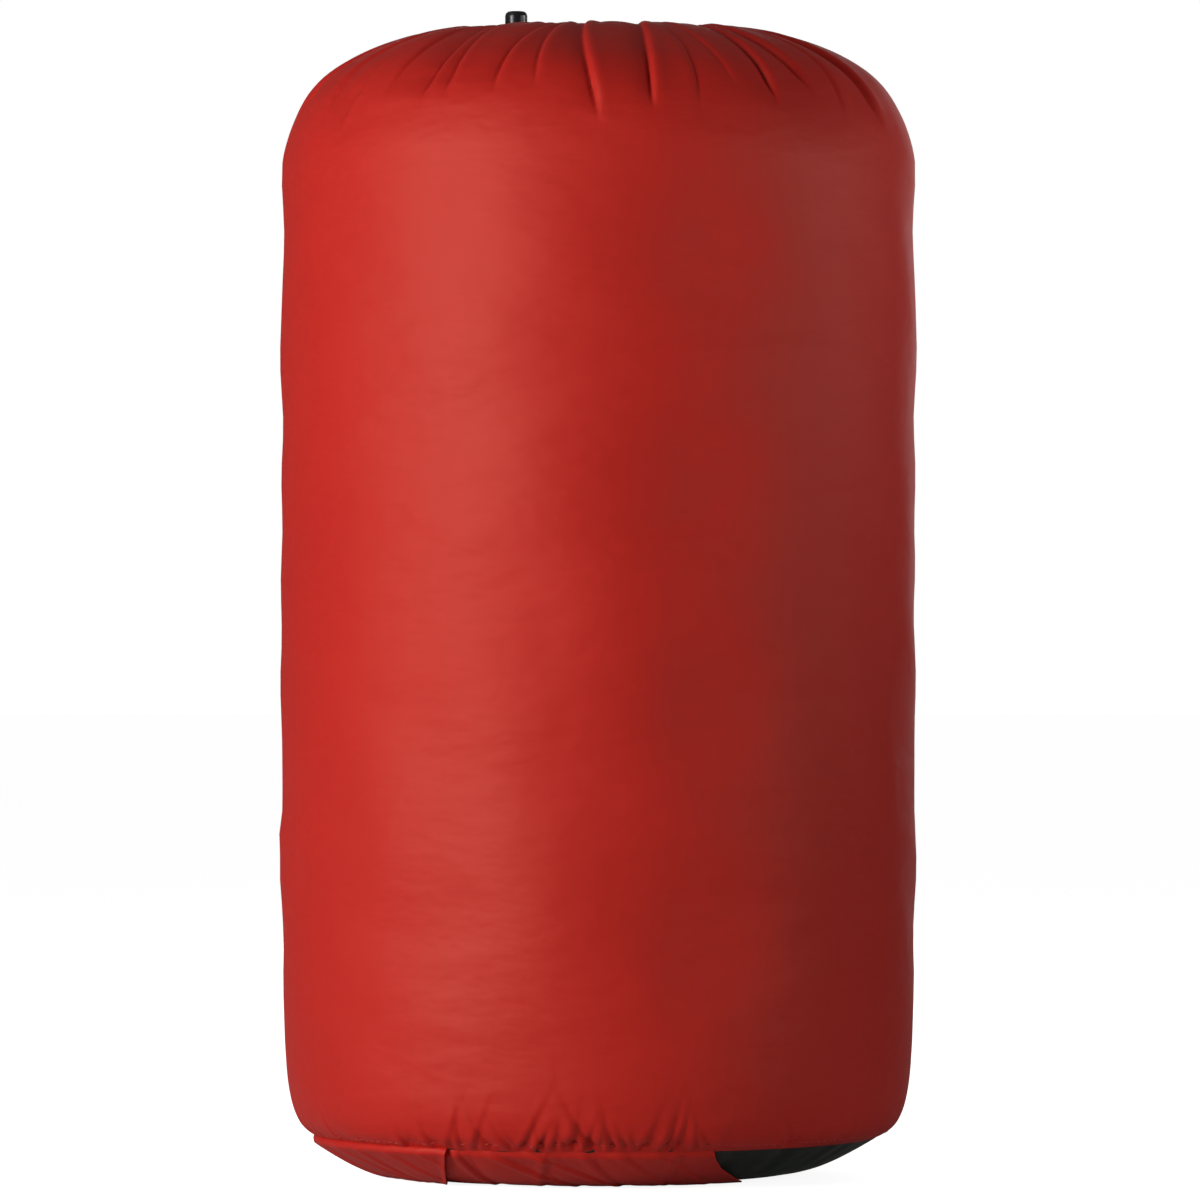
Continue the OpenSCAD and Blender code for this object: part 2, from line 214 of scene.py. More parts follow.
# Fine creasing of thin cloth: two sizes of noise, drawn out sideways, in metres of height, and a soft mottle
def makeCrinkleGroup():
    group, given, result = newGroup("clothCrinkle", [("Place", "NodeSocketVector", None),
                                                     ("Size", "NodeSocketFloat", 60.0),
                                                     ("Depth", "NodeSocketFloat", 0.0004)],
                                    [("Height", "NodeSocketFloat"), ("Mottle", "NodeSocketFloat")])
    stretch = group.nodes.new("ShaderNodeMapping")
    stretch.inputs["Scale"].default_value = (0.45, 0.45, 1.0)
    group.links.new(given.outputs["Place"], stretch.inputs["Vector"])
    total = None
    for ratio, share, detail in ((1.0, 1.0, 3.0), (3.1, 0.22, 2.0)):
        noise = group.nodes.new("ShaderNodeTexNoise")
        noise.inputs["Detail"].default_value = detail
        noise.inputs["Roughness"].default_value = 0.45
        group.links.new(stretch.outputs[0], noise.inputs["Vector"])
        group.links.new(mathNode(group, "MULTIPLY", given.outputs["Size"], ratio), noise.inputs["Scale"])
        part = mathNode(group, "MULTIPLY", noise.outputs["Fac"], share)
        total = part if total is None else mathNode(group, "ADD", total, part)
    group.links.new(mathNode(group, "MULTIPLY", total, given.outputs["Depth"]), result.inputs["Height"])
    mottle = group.nodes.new("ShaderNodeTexNoise")
    mottle.inputs["Scale"].default_value = 9.0
    mottle.inputs["Detail"].default_value = 4.0
    group.links.new(given.outputs["Place"], mottle.inputs["Vector"])
    group.links.new(mottle.outputs["Fac"], result.inputs["Mottle"])
    return group


# Braid: two families of slanted ridges crossing each other round a cord; the ridges are also given out as painted
# shade, darker in the grooves between strands
def makeBraidGroup():
    group, given, result = newGroup("cordBraid", [("Map", "NodeSocketVector", None),
                                                  ("Pitch", "NodeSocketFloat", 0.0022),
                                                  ("Strands", "NodeSocketFloat", 8.0),
                                                  ("Depth", "NodeSocketFloat", 0.0002)],
                                    [("Height", "NodeSocketFloat"), ("PaintedShade", "NodeSocketFloat")])
    split = group.nodes.new("ShaderNodeSeparateXYZ")
    group.links.new(given.outputs["Map"], split.inputs[0])
    around = mathNode(group, "MULTIPLY", mathNode(group, "MULTIPLY", split.outputs["X"], given.outputs["Strands"]),
                      math.pi)
    turns = mathNode(group, "DIVIDE", split.outputs["Y"], given.outputs["Pitch"])
    along = mathNode(group, "MULTIPLY", turns, math.pi)
    one = mathNode(group, "ABSOLUTE", mathNode(group, "SINE", mathNode(group, "ADD", around, along)))
    two = mathNode(group, "ABSOLUTE", mathNode(group, "SINE", mathNode(group, "SUBTRACT", around, along)))
    ridge = mathNode(group, "MINIMUM", one, two)
    group.links.new(mathNode(group, "MULTIPLY", ridge, given.outputs["Depth"]), result.inputs["Height"])
    # painted shade: the grooves between strands darker than the ridges
    group.links.new(ridge, result.inputs["PaintedShade"])
    return group


# Wear and handling: brighter where the noise is high, used on plastic and metal
def makeWearGroup():
    group, given, result = newGroup("handlingWear", [("Place", "NodeSocketVector", None),
                                                     ("Size", "NodeSocketFloat", 900.0),
                                                     ("Depth", "NodeSocketFloat", 0.00002)],
                                    [("Height", "NodeSocketFloat"), ("Wear", "NodeSocketFloat")])
    noise = group.nodes.new("ShaderNodeTexNoise")
    noise.inputs["Detail"].default_value = 5.0
    group.links.new(given.outputs["Place"], noise.inputs["Vector"])
    group.links.new(given.outputs["Size"], noise.inputs["Scale"])
    height = mathNode(group, "MULTIPLY", noise.outputs["Fac"], given.outputs["Depth"])
    group.links.new(height, result.inputs["Height"])
    scuff = group.nodes.new("ShaderNodeTexNoise")
    scuff.inputs["Scale"].default_value = 260.0
    scuff.inputs["Detail"].default_value = 6.0
    group.links.new(given.outputs["Place"], scuff.inputs["Vector"])
    group.links.new(scuff.outputs["Fac"], result.inputs["Wear"])
    return group


weaveGroup = makeWeaveGroup()
crinkleGroup = makeCrinkleGroup()
braidGroup = makeBraidGroup()
wearGroup = makeWearGroup()


def startMaterial(name, **values):
    material = bpy.data.materials.new(name)
    material.use_nodes = True
    shader = material.node_tree.nodes["Principled BSDF"]
    for label, value in values.items():
        shader.inputs[label.replace("_", " ")].default_value = value
    return material, material.node_tree, shader


def groupNode(tree, group, source, **values):
    node = tree.nodes.new("ShaderNodeGroup")
    node.node_tree = group
    tree.links.new(source, node.inputs[0])
    for label, value in values.items():
        node.inputs[label].default_value = value
    return node


def mixColours(tree, factor, low, high):
    mix = tree.nodes.new("ShaderNodeMix")
    mix.data_type = "RGBA"
    tree.links.new(factor, mix.inputs["Factor"])
    mix.inputs[6].default_value = (*low, 1)
    mix.inputs[7].default_value = (*high, 1)
    return mix.outputs[2]


def addBump(tree, shader, height, strength=1.0):
    bump = tree.nodes.new("ShaderNodeBump")
    bump.inputs["Distance"].default_value = 1.0
    bump.inputs["Strength"].default_value = strength
    tree.links.new(height, bump.inputs["Height"])
    tree.links.new(bump.outputs["Normal"], shader.inputs["Normal"])


# Woven cloth: colour runs between two tones with the random mottle and with painted shade from the weave, darker
# where the weave lies low, and both roughen the normal
def clothMaterial(name, look):
    material, tree, shader = startMaterial(name, Roughness=look["roughness"])
    shader.inputs["Specular IOR Level"].default_value = look["specular"]
    shader.inputs["Specular Tint"].default_value = (*look.get("specularTint", (1, 1, 1)), 1)
    shader.inputs["Sheen Weight"].default_value = look["sheen"]
    shader.inputs["Sheen Roughness"].default_value = 0.4
    shader.inputs["Sheen Tint"].default_value = (*look["sheenTint"], 1)
    place = tree.nodes.new("ShaderNodeTexCoord")
    weave = groupNode(tree, weaveGroup, place.outputs["UV"], Thread=look["thread"], Depth=look["weaveDepth"])
    crinkle = groupNode(tree, crinkleGroup, place.outputs["Object"], Size=look["crinkleSize"],
                        Depth=look["crinkleDepth"])
    # base colour: random mottle, plus the weave's painted shade
    mottleAndWeaveShade = mathNode(tree, "ADD", mathNode(tree, "MULTIPLY", crinkle.outputs["Mottle"], 0.7),
                    mathNode(tree, "MULTIPLY", weave.outputs["PaintedShade"], 0.3))
    tree.links.new(mixColours(tree, mottleAndWeaveShade, look["dark"], look["light"]), shader.inputs["Base Color"])
    rough = mathNode(tree, "MULTIPLY_ADD", crinkle.outputs["Mottle"], 0.12, look["roughness"] - 0.06)
    tree.links.new(rough, shader.inputs["Roughness"])
    addBump(tree, shader, mathNode(tree, "ADD", weave.outputs["Height"], crinkle.outputs["Height"]))
    return material


redLook = {"dark": (0.43, 0.0080, 0.0055), "light": (0.53, 0.0135, 0.0090), "roughness": 0.60, "specular": 0.68,
           "specularTint": (1.0, 0.48, 0.36), "sheen": 0.03, "sheenTint": (1.0, 0.55, 0.45),
           "thread": 0.00035, "weaveDepth": 0.000012,
           "crinkleSize": 40.0, "crinkleDepth": 0.0022}
greenLook = {"dark": (0.0035, 0.0065, 0.0040), "light": (0.009, 0.015, 0.010), "roughness": 0.55, "specular": 0.3,
             "sheen": 0.08, "sheenTint": (0.8, 0.9, 0.8), "thread": 0.00035, "weaveDepth": 0.000012,
             "crinkleSize": 55.0, "crinkleDepth": 0.0012}
linerLook = {"dark": (0.075, 0.082, 0.08), "light": (0.13, 0.14, 0.135), "roughness": 0.85, "specular": 0.2,
             "sheen": 0.4, "sheenTint": (1.0, 1.0, 1.0), "thread": 0.0005, "weaveDepth": 0.00003,
             "crinkleSize": 60.0, "crinkleDepth": 0.0010}
fillLook = {"dark": (0.72, 0.72, 0.70), "light": (0.9, 0.9, 0.88), "roughness": 0.95, "specular": 0.1,
            "sheen": 0.5, "sheenTint": (1.0, 1.0, 1.0), "thread": 0.0015, "weaveDepth": 0.0001,
            "crinkleSize": 180.0, "crinkleDepth": 0.0020}
tapeLook = {"dark": (0.008, 0.008, 0.009), "light": (0.028, 0.028, 0.03), "roughness": 0.7, "specular": 0.3,
            "sheen": 0.2, "sheenTint": (1.0, 1.0, 1.0), "thread": 0.0009, "weaveDepth": 0.00012,
            "crinkleSize": 90.0, "crinkleDepth": 0.0002}
labelLook = {"dark": (0.70, 0.70, 0.67), "light": (0.82, 0.82, 0.79), "roughness": 0.55, "specular": 0.4,
             "sheen": 0.3, "sheenTint": (1.0, 1.0, 1.0), "thread": 0.0003, "weaveDepth": 0.00002,
             "crinkleSize": 60.0, "crinkleDepth": 0.0004}
redNylon = clothMaterial("redNylon", redLook)
greenNylon = clothMaterial("greenNylon", greenLook)
linerCloth = clothMaterial("linerCloth", linerLook)
fibreFill = clothMaterial("fibreFill", fillLook)
blackTape = clothMaterial("blackTape", tapeLook)
labelSatin = clothMaterial("labelSatin", labelLook)


# Thread: a mottle between two colours and a fine crinkled bump, from the crinkle noise on the object's coordinates
def threadMaterial(name, dark, light):
    material, tree, shader = startMaterial(name, Roughness=0.55)
    place = tree.nodes.new("ShaderNodeTexCoord")
    crinkle = groupNode(tree, crinkleGroup, place.outputs["Object"], Size=900.0, Depth=0.00015)
    tree.links.new(mixColours(tree, crinkle.outputs["Mottle"], dark, light), shader.inputs["Base Color"])
    addBump(tree, shader, crinkle.outputs["Height"])
    return material


redThread = threadMaterial("redThread", (0.38, 0.012, 0.009), (0.6, 0.04, 0.03))
blackThread = threadMaterial("blackThread", (0.01, 0.01, 0.011), (0.03, 0.03, 0.032))


def cordMaterial(name, dark, light):
    material, tree, shader = startMaterial(name, Roughness=0.6)
    shader.inputs["Sheen Weight"].default_value = 0.2
    place = tree.nodes.new("ShaderNodeTexCoord")
    braid = groupNode(tree, braidGroup, place.outputs["UV"], Pitch=0.0026, Strands=6.0, Depth=0.00035)
    # cord colour from dark in the braid's grooves to light on its ridges: painted shade
    tree.links.new(mixColours(tree, braid.outputs["PaintedShade"], dark, light), shader.inputs["Base Color"])
    addBump(tree, shader, braid.outputs["Height"])
    return material


blackCord = cordMaterial("blackCord", (0.004, 0.004, 0.005), (0.03, 0.03, 0.032))


def hardMaterial(name, look):
    material, tree, shader = startMaterial(name, Roughness=look["roughness"], Metallic=look["metallic"])
    place = tree.nodes.new("ShaderNodeTexCoord")
    wear = groupNode(tree, wearGroup, place.outputs["Object"], Size=look["grain"], Depth=look["grainDepth"])
    tree.links.new(mixColours(tree, wear.outputs["Wear"], look["dark"], look["light"]), shader.inputs["Base Color"])
    rough = mathNode(tree, "MULTIPLY_ADD", wear.outputs["Wear"], 0.16, look["roughness"] - 0.08)
    tree.links.new(rough, shader.inputs["Roughness"])
    addBump(tree, shader, wear.outputs["Height"])
    return material


lockPlastic = hardMaterial("lockPlastic", {"dark": (0.006, 0.006, 0.007), "light": (0.016, 0.016, 0.017),
                                           "roughness": 0.3, "metallic": 0.0, "grain": 1500.0,
                                           "grainDepth": 0.00003})
blackEnamel = hardMaterial("blackEnamel", {"dark": (0.012, 0.012, 0.012), "light": (0.05, 0.048, 0.045),
                                           "roughness": 0.38, "metallic": 0.4, "grain": 800.0,
                                           "grainDepth": 0.00003})
zipNylon = hardMaterial("zipNylon", {"dark": (0.010, 0.010, 0.011), "light": (0.02, 0.02, 0.021),
                                     "roughness": 0.45, "metallic": 0.0, "grain": 1200.0, "grainDepth": 0.00004})
springWire = hardMaterial("springWire", {"dark": (0.5, 0.5, 0.5), "light": (0.7, 0.7, 0.69),
                                         "roughness": 0.25, "metallic": 1.0, "grain": 1500.0,
                                         "grainDepth": 0.00001})
print("materials made")

# ---------- camera, light and floor ----------

view = {"distance": 3.5, "height": 0.236, "across": 0.0006, "lens": 255.4}
camera = bpy.data.objects.new("camera", bpy.data.cameras.new("camera"))
camera.data.lens = view["lens"]
camera.data.sensor_width = 36
camera.data.clip_end = 60
camera.location = (view["across"], -view["distance"], view["height"])
camera.rotation_euler = (math.radians(90), 0, 0)
scene.collection.objects.link(camera)
scene.camera = camera
scene.view_settings.view_transform = "Standard"


def softbox(name, bearing, distance, height, size, power, aimHeight, spread=180):
    light = bpy.data.lights.new(name, "AREA")
    light.shape = "RECTANGLE"
    light.size, light.size_y = size
    light.energy = power
    light.spread = math.radians(spread)
    lamp = bpy.data.objects.new(name, light)
    a = math.radians(bearing)
    lamp.location = (distance * math.sin(a), -distance * math.cos(a), height)
    toward = Vector((0, 0, aimHeight)) - lamp.location
    lamp.rotation_euler = toward.to_track_quat("-Z", "Y").to_euler()
    scene.collection.objects.link(lamp)
    return lamp


softbox("keyLeft", -50, 1.7, 0.42, (0.55, 1.3), 31, 0.24)
softbox("fillRight", 60, 1.9, 0.40, (0.45, 0.9), 6.0, 0.28)
softbox("sideRight", 92, 1.9, 0.52, (0.45, 0.42), 0.15, 0.50, 16)
softbox("fillBehind", 172, 2.4, 0.6, (1.6, 0.9), 11, 0.24)

world = bpy.data.worlds.new("studio")
scene.world = world
world.use_nodes = True
worldTree = world.node_tree
background = worldTree.nodes["Background"]
background.inputs["Color"].default_value = (1, 1, 1, 1)
lightPath = worldTree.nodes.new("ShaderNodeLightPath")
worldTree.links.new(mathNode(worldTree, "MULTIPLY_ADD", lightPath.outputs["Is Camera Ray"], 0.9, 0.10),
                    background.inputs["Strength"])

floorGrid = np.stack(np.meshgrid(np.linspace(-14, 14, 9), np.linspace(-14, 14, 9)), -1)
floor = gridObject("floor", np.dstack([floorGrid, np.zeros(floorGrid.shape[:2])]))
floorMaterial, floorTree, floorShader = startMaterial("paleFloor", Base_Color=(0.86, 0.86, 0.86, 1), Roughness=0.9)
floorNoise = floorTree.nodes.new("ShaderNodeTexNoise")
floorNoise.inputs["Scale"].default_value = 3.0
floorPath = floorTree.nodes.new("ShaderNodeLightPath")
paleness = mathNode(floorTree, "MULTIPLY_ADD", floorPath.outputs["Is Camera Ray"], 0.7,
                    mathNode(floorTree, "MULTIPLY", floorNoise.outputs["Fac"], 0.3))
floorTree.links.new(mixColours(floorTree, paleness, (0.62, 0.62, 0.62), (0.9, 0.9, 0.9)),
                    floorShader.inputs["Base Color"])
floorShader.inputs["Emission Color"].default_value = (1, 1, 1, 1)
floorTree.links.new(mathNode(floorTree, "MULTIPLY", floorPath.outputs["Is Camera Ray"], 0.9),
                    floorShader.inputs["Emission Strength"])
dressed(floor, floorMaterial)
print("camera, lights and floor set")

cordLook = {"diameter": 2.6 * mm, "gap": 2.7 * mm, "turnFrom": 24, "turnTo": 70}
# the line midway between the two strands, in mm, as in the frame
cordRoute = [
    (-9.9, -9.9, 458), (-13.5, -13.5, 458.1), (-17, -17, 458.8), (-20.2, -19.2, 459.5), (-24, -20, 460.2),
    (-28, -19, 460.8), (-31.2, -16.8, 461.2), (-33.1, -13.6, 461.4), (-33.8, -10, 461.5), (-33.8, 0, 461.5),
    (-33.8, 12, 461.5), (-33.8, 23, 461.6), (-33.8, 29, 463.2), (-33.8, 33, 466.4), (-33.8, 37, 469.8),
    (-33.9, 42, 472), (-34, 49, 472.4), (-34, 60, 470.3), (-34, 72, 467.6), (-34, 84, 464.2), (-34, 95.5, 459.6),
    (-34, 106.5, 452.6), (-34, 115.5, 444.2), (-34, 122.2, 434.4), (-34, 126.2, 423.4), (-34, 127.8, 409),
    (-34, 128, 388), (-34, 128, 364), (-34, 128, 340), (-34, 128, 316), (-34, 128.2, 292), (-34, 129.2, 270),
    (-34, 130.2, 252), (-34, 130.4, 241)]


# A strand lies above or below the midway line in the lock and turns to lie beside it on the shoulder
def strandLine(side):
    route = np.array(cordRoute, float)
    tangent = unitRows(np.vstack([route[1] - route[0], route[2:] - route[:-2], route[-1] - route[-2]]))
    up = np.array([0, 0, 1.0])
    lift = up - tangent * (tangent @ up)[:, None]
    lift = unitRows(lift)
    turn = np.clip((route[:, 1] - cordLook["turnFrom"]) / (cordLook["turnTo"] - cordLook["turnFrom"]), 0, 1)
    a = turn[:, None] * math.pi / 2
    offset = np.cos(a) * lift - np.sin(a) * np.array([[1.0, 0, 0]])
    strand = route * mm + side * cordLook["gap"] / 2 * offset
    return splineThrough(strand, 8)


def placed(piece, material, node, body="packed_bag"):
    dressed(piece, material)
    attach(piece, body)
    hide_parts(node)
    return piece


# The knot: a tube along a trefoil, x = sin t + 2 sin 2t, y = cos t - 2 cos 2t, z = -sin 3t, drawn tight and stretched
def makeKnot():
    knotLow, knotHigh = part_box("drawcord_knot")
    middle = (np.array(knotLow) + np.array(knotHigh)) / 2
    t = np.linspace(0, 2 * np.pi, 140, endpoint=False)
    line = np.stack([(np.sin(t) + 2 * np.sin(2 * t)) * 0.80, -np.sin(3 * t) * 1.15,
                     (np.cos(t) - 2 * np.cos(2 * t)) * 1.22], 1) * mm
    tangent = unitRows(np.roll(line, -1, 0) - np.roll(line, 1, 0))
    side = unitRows(np.cross(tangent, line))
    third = np.cross(tangent, side)
    a = np.linspace(0, 2 * np.pi, 12, endpoint=False)
    grid = middle + line[:, None] + 1.25 * mm * (np.cos(a)[None, :, None] * side[:, None]
                                                 + np.sin(a)[None, :, None] * third[:, None])
    uv = np.stack(np.broadcast_arrays(a[None, :] / (2 * np.pi), np.linspace(0, 0.045, 140)[:, None]), -1)
    return placed(gridObject("drawcord_knot_cord", grid, uv, wrapColumns=True, wrapRows=True), blackCord,
                  "drawcord_knot")


knot = makeKnot()
tails = []
for label, side in (("drawcord_tail_a", 1), ("drawcord_tail_b", -1)):
    line = resampled(strandLine(side), 260)
    tail = tubeObject(label.replace("drawcord_", "") + "_cord", line, cordLook["diameter"] / 2, 14, (0, 0, 1))
    dressed(tail, blackCord)
    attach(tail, "packed_bag")
    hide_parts(label)
    tails.append(tail)

sackShape = {"frontColumns": 600, "rearColumns": 320, "pleats": 34, "creaseDepth": 1.9 * mm,
             "wallWave": 1.0 * mm, "puckerDepth": 1.5 * mm, "fullness": 2.6 * mm}


# Height of the shoulder at a radius: a superellipse from the level top to the upright wall
def shoulderHeight(r):
    t = np.clip((r - 0.030) / (sackRadius - 0.030), 0, 1)
    return shoulderZ + (sackTop - shoulderZ) * (1 - t ** 2.3) ** (1 / 2.3)


def sackProfile():
    wall, recess = sackRadius, floorZ
    low = [(seamRadius - 0.003, seamZ - 0.0012), (seamRadius + 0.0006, seamZ + 0.0006), (wall - 0.0082, 0.0208),
           (wall - 0.0056, 0.0252), (wall - 0.0036, 0.0315), (wall - 0.002, 0.042), (wall - 0.0008, 0.062),
           (wall, 0.095), (wall, 0.16), (wall, 0.24), (wall, 0.32), (wall, shoulderZ - 0.03), (wall, shoulderZ)]
    a = np.radians(np.arange(8, 84, 7.6))
    r = 0.056 + (wall - 0.056) * np.cos(a)
    dome = list(zip(r, shoulderHeight(r)))
    pit = [(0.056, sackTop - 0.0012), (0.052, sackTop - 0.0027), (0.0492, sackTop - 0.0066),
           (0.0472, sackTop - 0.013), (0.0462, sackTop - 0.019), (0.0446, recess + 0.0016), (0.042, recess + 0.0002),
           (0.030, recess), (0.0125, recess)]
    return splineThrough(low + dome + pit, 24)


profileLine = sackProfile()
profileS = arcLength(profileLine)
profileTurn = np.gradient(profileLine, axis=0)
profileNormal = unitRows(np.stack([profileTurn[:, 1], -profileTurn[:, 0]], 1))
seamS = float(profileS[24])
shoulderS = float(profileS[24 * 12])
crestS = float(profileS[24 * 12 + int(np.argmin(abs(profileLine[24 * 12:24 * 24, 0] - 0.062)))])
rimS = float(profileS[-1])

# The main creases of the gathered shoulder, listed: bearing at the lower end, bearing at the crest, share of
# the longest length
mainCreases = [(-55, -45, 1.0), (-35, -40, 0.5), (-30, -35, 0.3), (-20, -15, 0.2), (0, -5, 1.0), (10, 15, 0.8),
               (35, 40, 0.6), (45, 45, 0.2), (65, 65, 1.0)]
creaseLook = {"every": 10.5, "clearOfMain": 6.0, "shortest": 118 * mm, "longest": 126 * mm, "mainDepth": 0.9,
              "longExtra": 0.35, "bow": 2.0, "sweep": 1.6}
gatherRandom = np.random.default_rng(5)


# Every crease as bearing low, bearing high, start radius, depth share, bow, lean. Between the main ones, lesser
# creases stand one step apart round the mouth, each moved a little, and are left out close beside a main one.
def gatherCreases():
    reach = creaseLook["longest"] - creaseLook["shortest"]
    found = [(low, high, creaseLook["shortest"] + reach * share,
              creaseLook["mainDepth"] + creaseLook["longExtra"] * share,
              creaseLook["bow"] * gatherRandom.uniform(-1, 1), -1) for low, high, share in mainCreases]
    for bearing in np.arange(-180, 180, creaseLook["every"]):
        low = bearing + gatherRandom.uniform(-3, 3)
        high, share = low + gatherRandom.uniform(-3, 3), gatherRandom.uniform(0, 1)
        depth, bow = gatherRandom.uniform(0.35, 0.95), creaseLook["bow"] * gatherRandom.uniform(-1, 1)
        lean = 1 if gatherRandom.uniform() > 0.5 else -1
        facing = abs(bearing) < 75
        if min(abs(low - main[0]) for main in mainCreases) > creaseLook["clearOfMain"]:
            start = creaseLook["shortest"] + reach * share
            found.append((low, high, start, depth * (0.6 if facing else 1), bow, lean))
    return found


creases = gatherCreases()
random = np.random.default_rng(12)
waveSet = [(int(k), m, random.uniform(0, 6.28), random.uniform(0, 6.28), random.uniform(0.5, 1.0))
           for k, m in zip(random.integers(1, 8, 14), random.uniform(4, 26, 14))]
wrinkleSet = [(random.uniform(-180, 180), random.uniform(0.05, 0.40), random.uniform(14, 38),
               random.uniform(2.2, 5.0), random.uniform(-0.35, 0.35), random.uniform(0.35, 1.0)) for _ in range(46)]
puckers = [(random.uniform(-180, 180), random.uniform(1.2, 2.6), random.uniform(5, 15), random.uniform(0.25, 0.8),
            random.uniform(-0.6, 0.6)) for _ in range(84)]
# Soft hollows and swellings of the wall, where the quilted roll presses from inside: bearing, height, half height in
# mm, depth in mm. Three columns of them stand one quilting pitch apart, and shallow ones lie anywhere.
quiltEvery = 88 * mm
lumpLook = {"lowest": 0.105, "rows": 4, "columns": [(20, 28, -3.6), (-12, 29, 1.0), (-33, 25, -0.9)]}
lumps = [(column[0], lumpLook["lowest"] + row * quiltEvery, column[1], column[2])
         for row in range(lumpLook["rows"]) for column in lumpLook["columns"]]
lumps += [(gatherRandom.uniform(-180, 180), gatherRandom.uniform(0.08, 0.37), gatherRandom.uniform(26, 50),
           gatherRandom.uniform(-0.9, 1.0)) for _ in range(14)]
# the deeper puckers at the front: one every few degrees, deepest left of the middle
frontPuckers = {"from": -34, "to": 25, "every": 3.3, "deepest": -6, "spread": 15}
for bearing in np.arange(frontPuckers["from"], frontPuckers["to"], frontPuckers["every"]):
    share = math.exp(-((bearing - frontPuckers["deepest"]) / frontPuckers["spread"]) ** 2)
    puckers.append((bearing + gatherRandom.uniform(-0.8, 0.8), gatherRandom.uniform(1.5, 2.3),
                    gatherRandom.uniform(9, 20), 0.6 + share * gatherRandom.uniform(0.6, 1.1),
                    gatherRandom.uniform(-0.6, 0.8)))


def wrapDegrees(x):
    return (x + 180) % 360 - 180


# How far the cloth stands off its smooth profile at a bearing and a length along the profile. A crease is a cusp:
# it falls away as the exponential of the distance from its line, so that the cloth between two of them is a pillow.
def clothRise(bearing, s):
    r = np.interp(s, profileS, profileLine[:, 0])
    z = np.interp(s, profileS, profileLine[:, 1])
    rise = np.zeros(np.broadcast(bearing, s).shape)
    b = np.radians(bearing)
    onWall = smoothStep(s, seamS + 0.02, seamS + 0.08) * (1 - smoothStep(s, shoulderS + 0.06, crestS + 0.02))
    for k, m, p, q, size in waveSet:
        wave = np.sin(k * b + p) * np.sin(m * z * 6.28 + q + k * b)
        rise = rise + onWall * sackShape["wallWave"] * size * 0.24 * wave
    for where, height, length, width, tilt, size in wrinkleSet:
        x = wrapDegrees(bearing - where) * (np.pi / 180) * sackRadius * 1000
        y = (z - height) * 1000 - tilt * x
        rise = rise + onWall * 0.0008 * size * np.exp(-(x / length) ** 2) * np.exp(-(y / width) ** 2) * \
            np.where(y > 0, 1.0, 0.85) * np.sin(y / width * 1.4 + 0.6)
    ledge = z - 0.262 + 0.00045 * bearing + 0.002 * np.sin(bearing / 7)      # one long shallow fold across the front
    rise = rise + onWall * 0.0009 * np.exp(-((wrapDegrees(bearing) - 12) / 34) ** 4) * \
        np.exp(-(ledge / 0.022) ** 2) * np.tanh(-ledge / 0.004)
    for where, height, tall, depth in lumps:      # the quilted roll pressing from inside
        x = wrapDegrees(bearing - where) * (np.pi / 180) * sackRadius * 1000
        y = (z - height) * 1000
        rise = rise + onWall * depth * mm * np.exp(-(x / 26) ** 2 - (y / tall) ** 2)
    # creases of the gathered shoulder, and the fullness of the cloth between them
    rise = rise + sackShape["fullness"] * smoothStep(s, shoulderS + 0.012, shoulderS + 0.05) * \
        (1 - smoothStep(s, crestS - 0.002, crestS + 0.014))
    for low, high, start, size, bow, lean in creases:
        startS = profileS[24 * 12 + int(np.argmin(abs(profileLine[24 * 12:24 * 24, 0] - start)))]
        along = np.clip((s - startS) / (crestS - startS), 0, 1.15)
        line = low + (high - low) * along ** creaseLook["sweep"] + 4 * bow * along * (1 - along)
        x = wrapDegrees(bearing - line) * (np.pi / 180) * r * 1000
        depth = sackShape["creaseDepth"] * size * smoothStep(s, startS - 0.003, startS + 0.011)
        depth = depth * (1 - 0.55 * smoothStep(s, startS + 0.030, crestS))
        depth = depth * (1 - 0.75 * smoothStep(s, rimS - 0.04, rimS))
        spread = 4.4 * (0.45 + 0.55 * np.clip(r / 0.1, 0, 1))
        near = np.sqrt(x ** 2 + 0.3 ** 2) - 0.3
        cusp = np.exp(-near / np.where(x * lean > 0, spread * 1.7, spread * 0.2))
        cusp = cusp + 0.45 * np.exp(-(x / 0.8) ** 2) * (1 - smoothStep(s, startS + 0.012, startS + 0.045))
        fold = 0.2 * np.exp(-((x * lean + spread * 0.8) / (spread * 0.7)) ** 2)
        rise = rise - depth * (cusp - fold)
    # finer pleats that start near the crest and run down into the mouth
    count = sackShape["pleats"]
    wander = 5.0 * np.sin(b * 3 + 0.7) + 3.0 * np.sin(b * 5 + 2.1)
    pleat = 1 - np.abs(np.sin((b * count + wander) / 2)) ** 0.7
    into = smoothStep(s, crestS - 0.012, crestS + 0.028)
    rise = rise - 2.6 * mm * into * (1 - 0.55 * smoothStep(s, rimS - 0.03, rimS)) * pleat
    # puckers above the base seam
    for where, width, height, size, slant in puckers:
        up = (s - seamS) * 1000
        x = wrapDegrees(bearing - where) * (np.pi / 180) * r * 1000 - slant * up
        fade = np.exp(-(np.maximum(up, 0) / (0.72 * height)) ** 1.5) * smoothStep(up, -3.0, 0.3)
        near = np.sqrt(x ** 2 + 0.3 ** 2) - 0.3
        rise = rise - sackShape["puckerDepth"] * size * fade * (
            np.exp(-near / np.where(x > 0, width * 1.5, width * 0.5)) -
            0.4 * np.exp(-((x + width * 1.3) / width) ** 2))
    # two small pinches in the wall on the left
    for where, height in ((-83, 0.140), (-86, 0.126)):
        x = wrapDegrees(bearing - where) * (np.pi / 180) * sackRadius * 1000
        y = (z - height) * 1000
        rise = rise + 1.1 * mm * np.exp(-(x / 16) ** 2 - (y / 4.2) ** 2)
    return rise


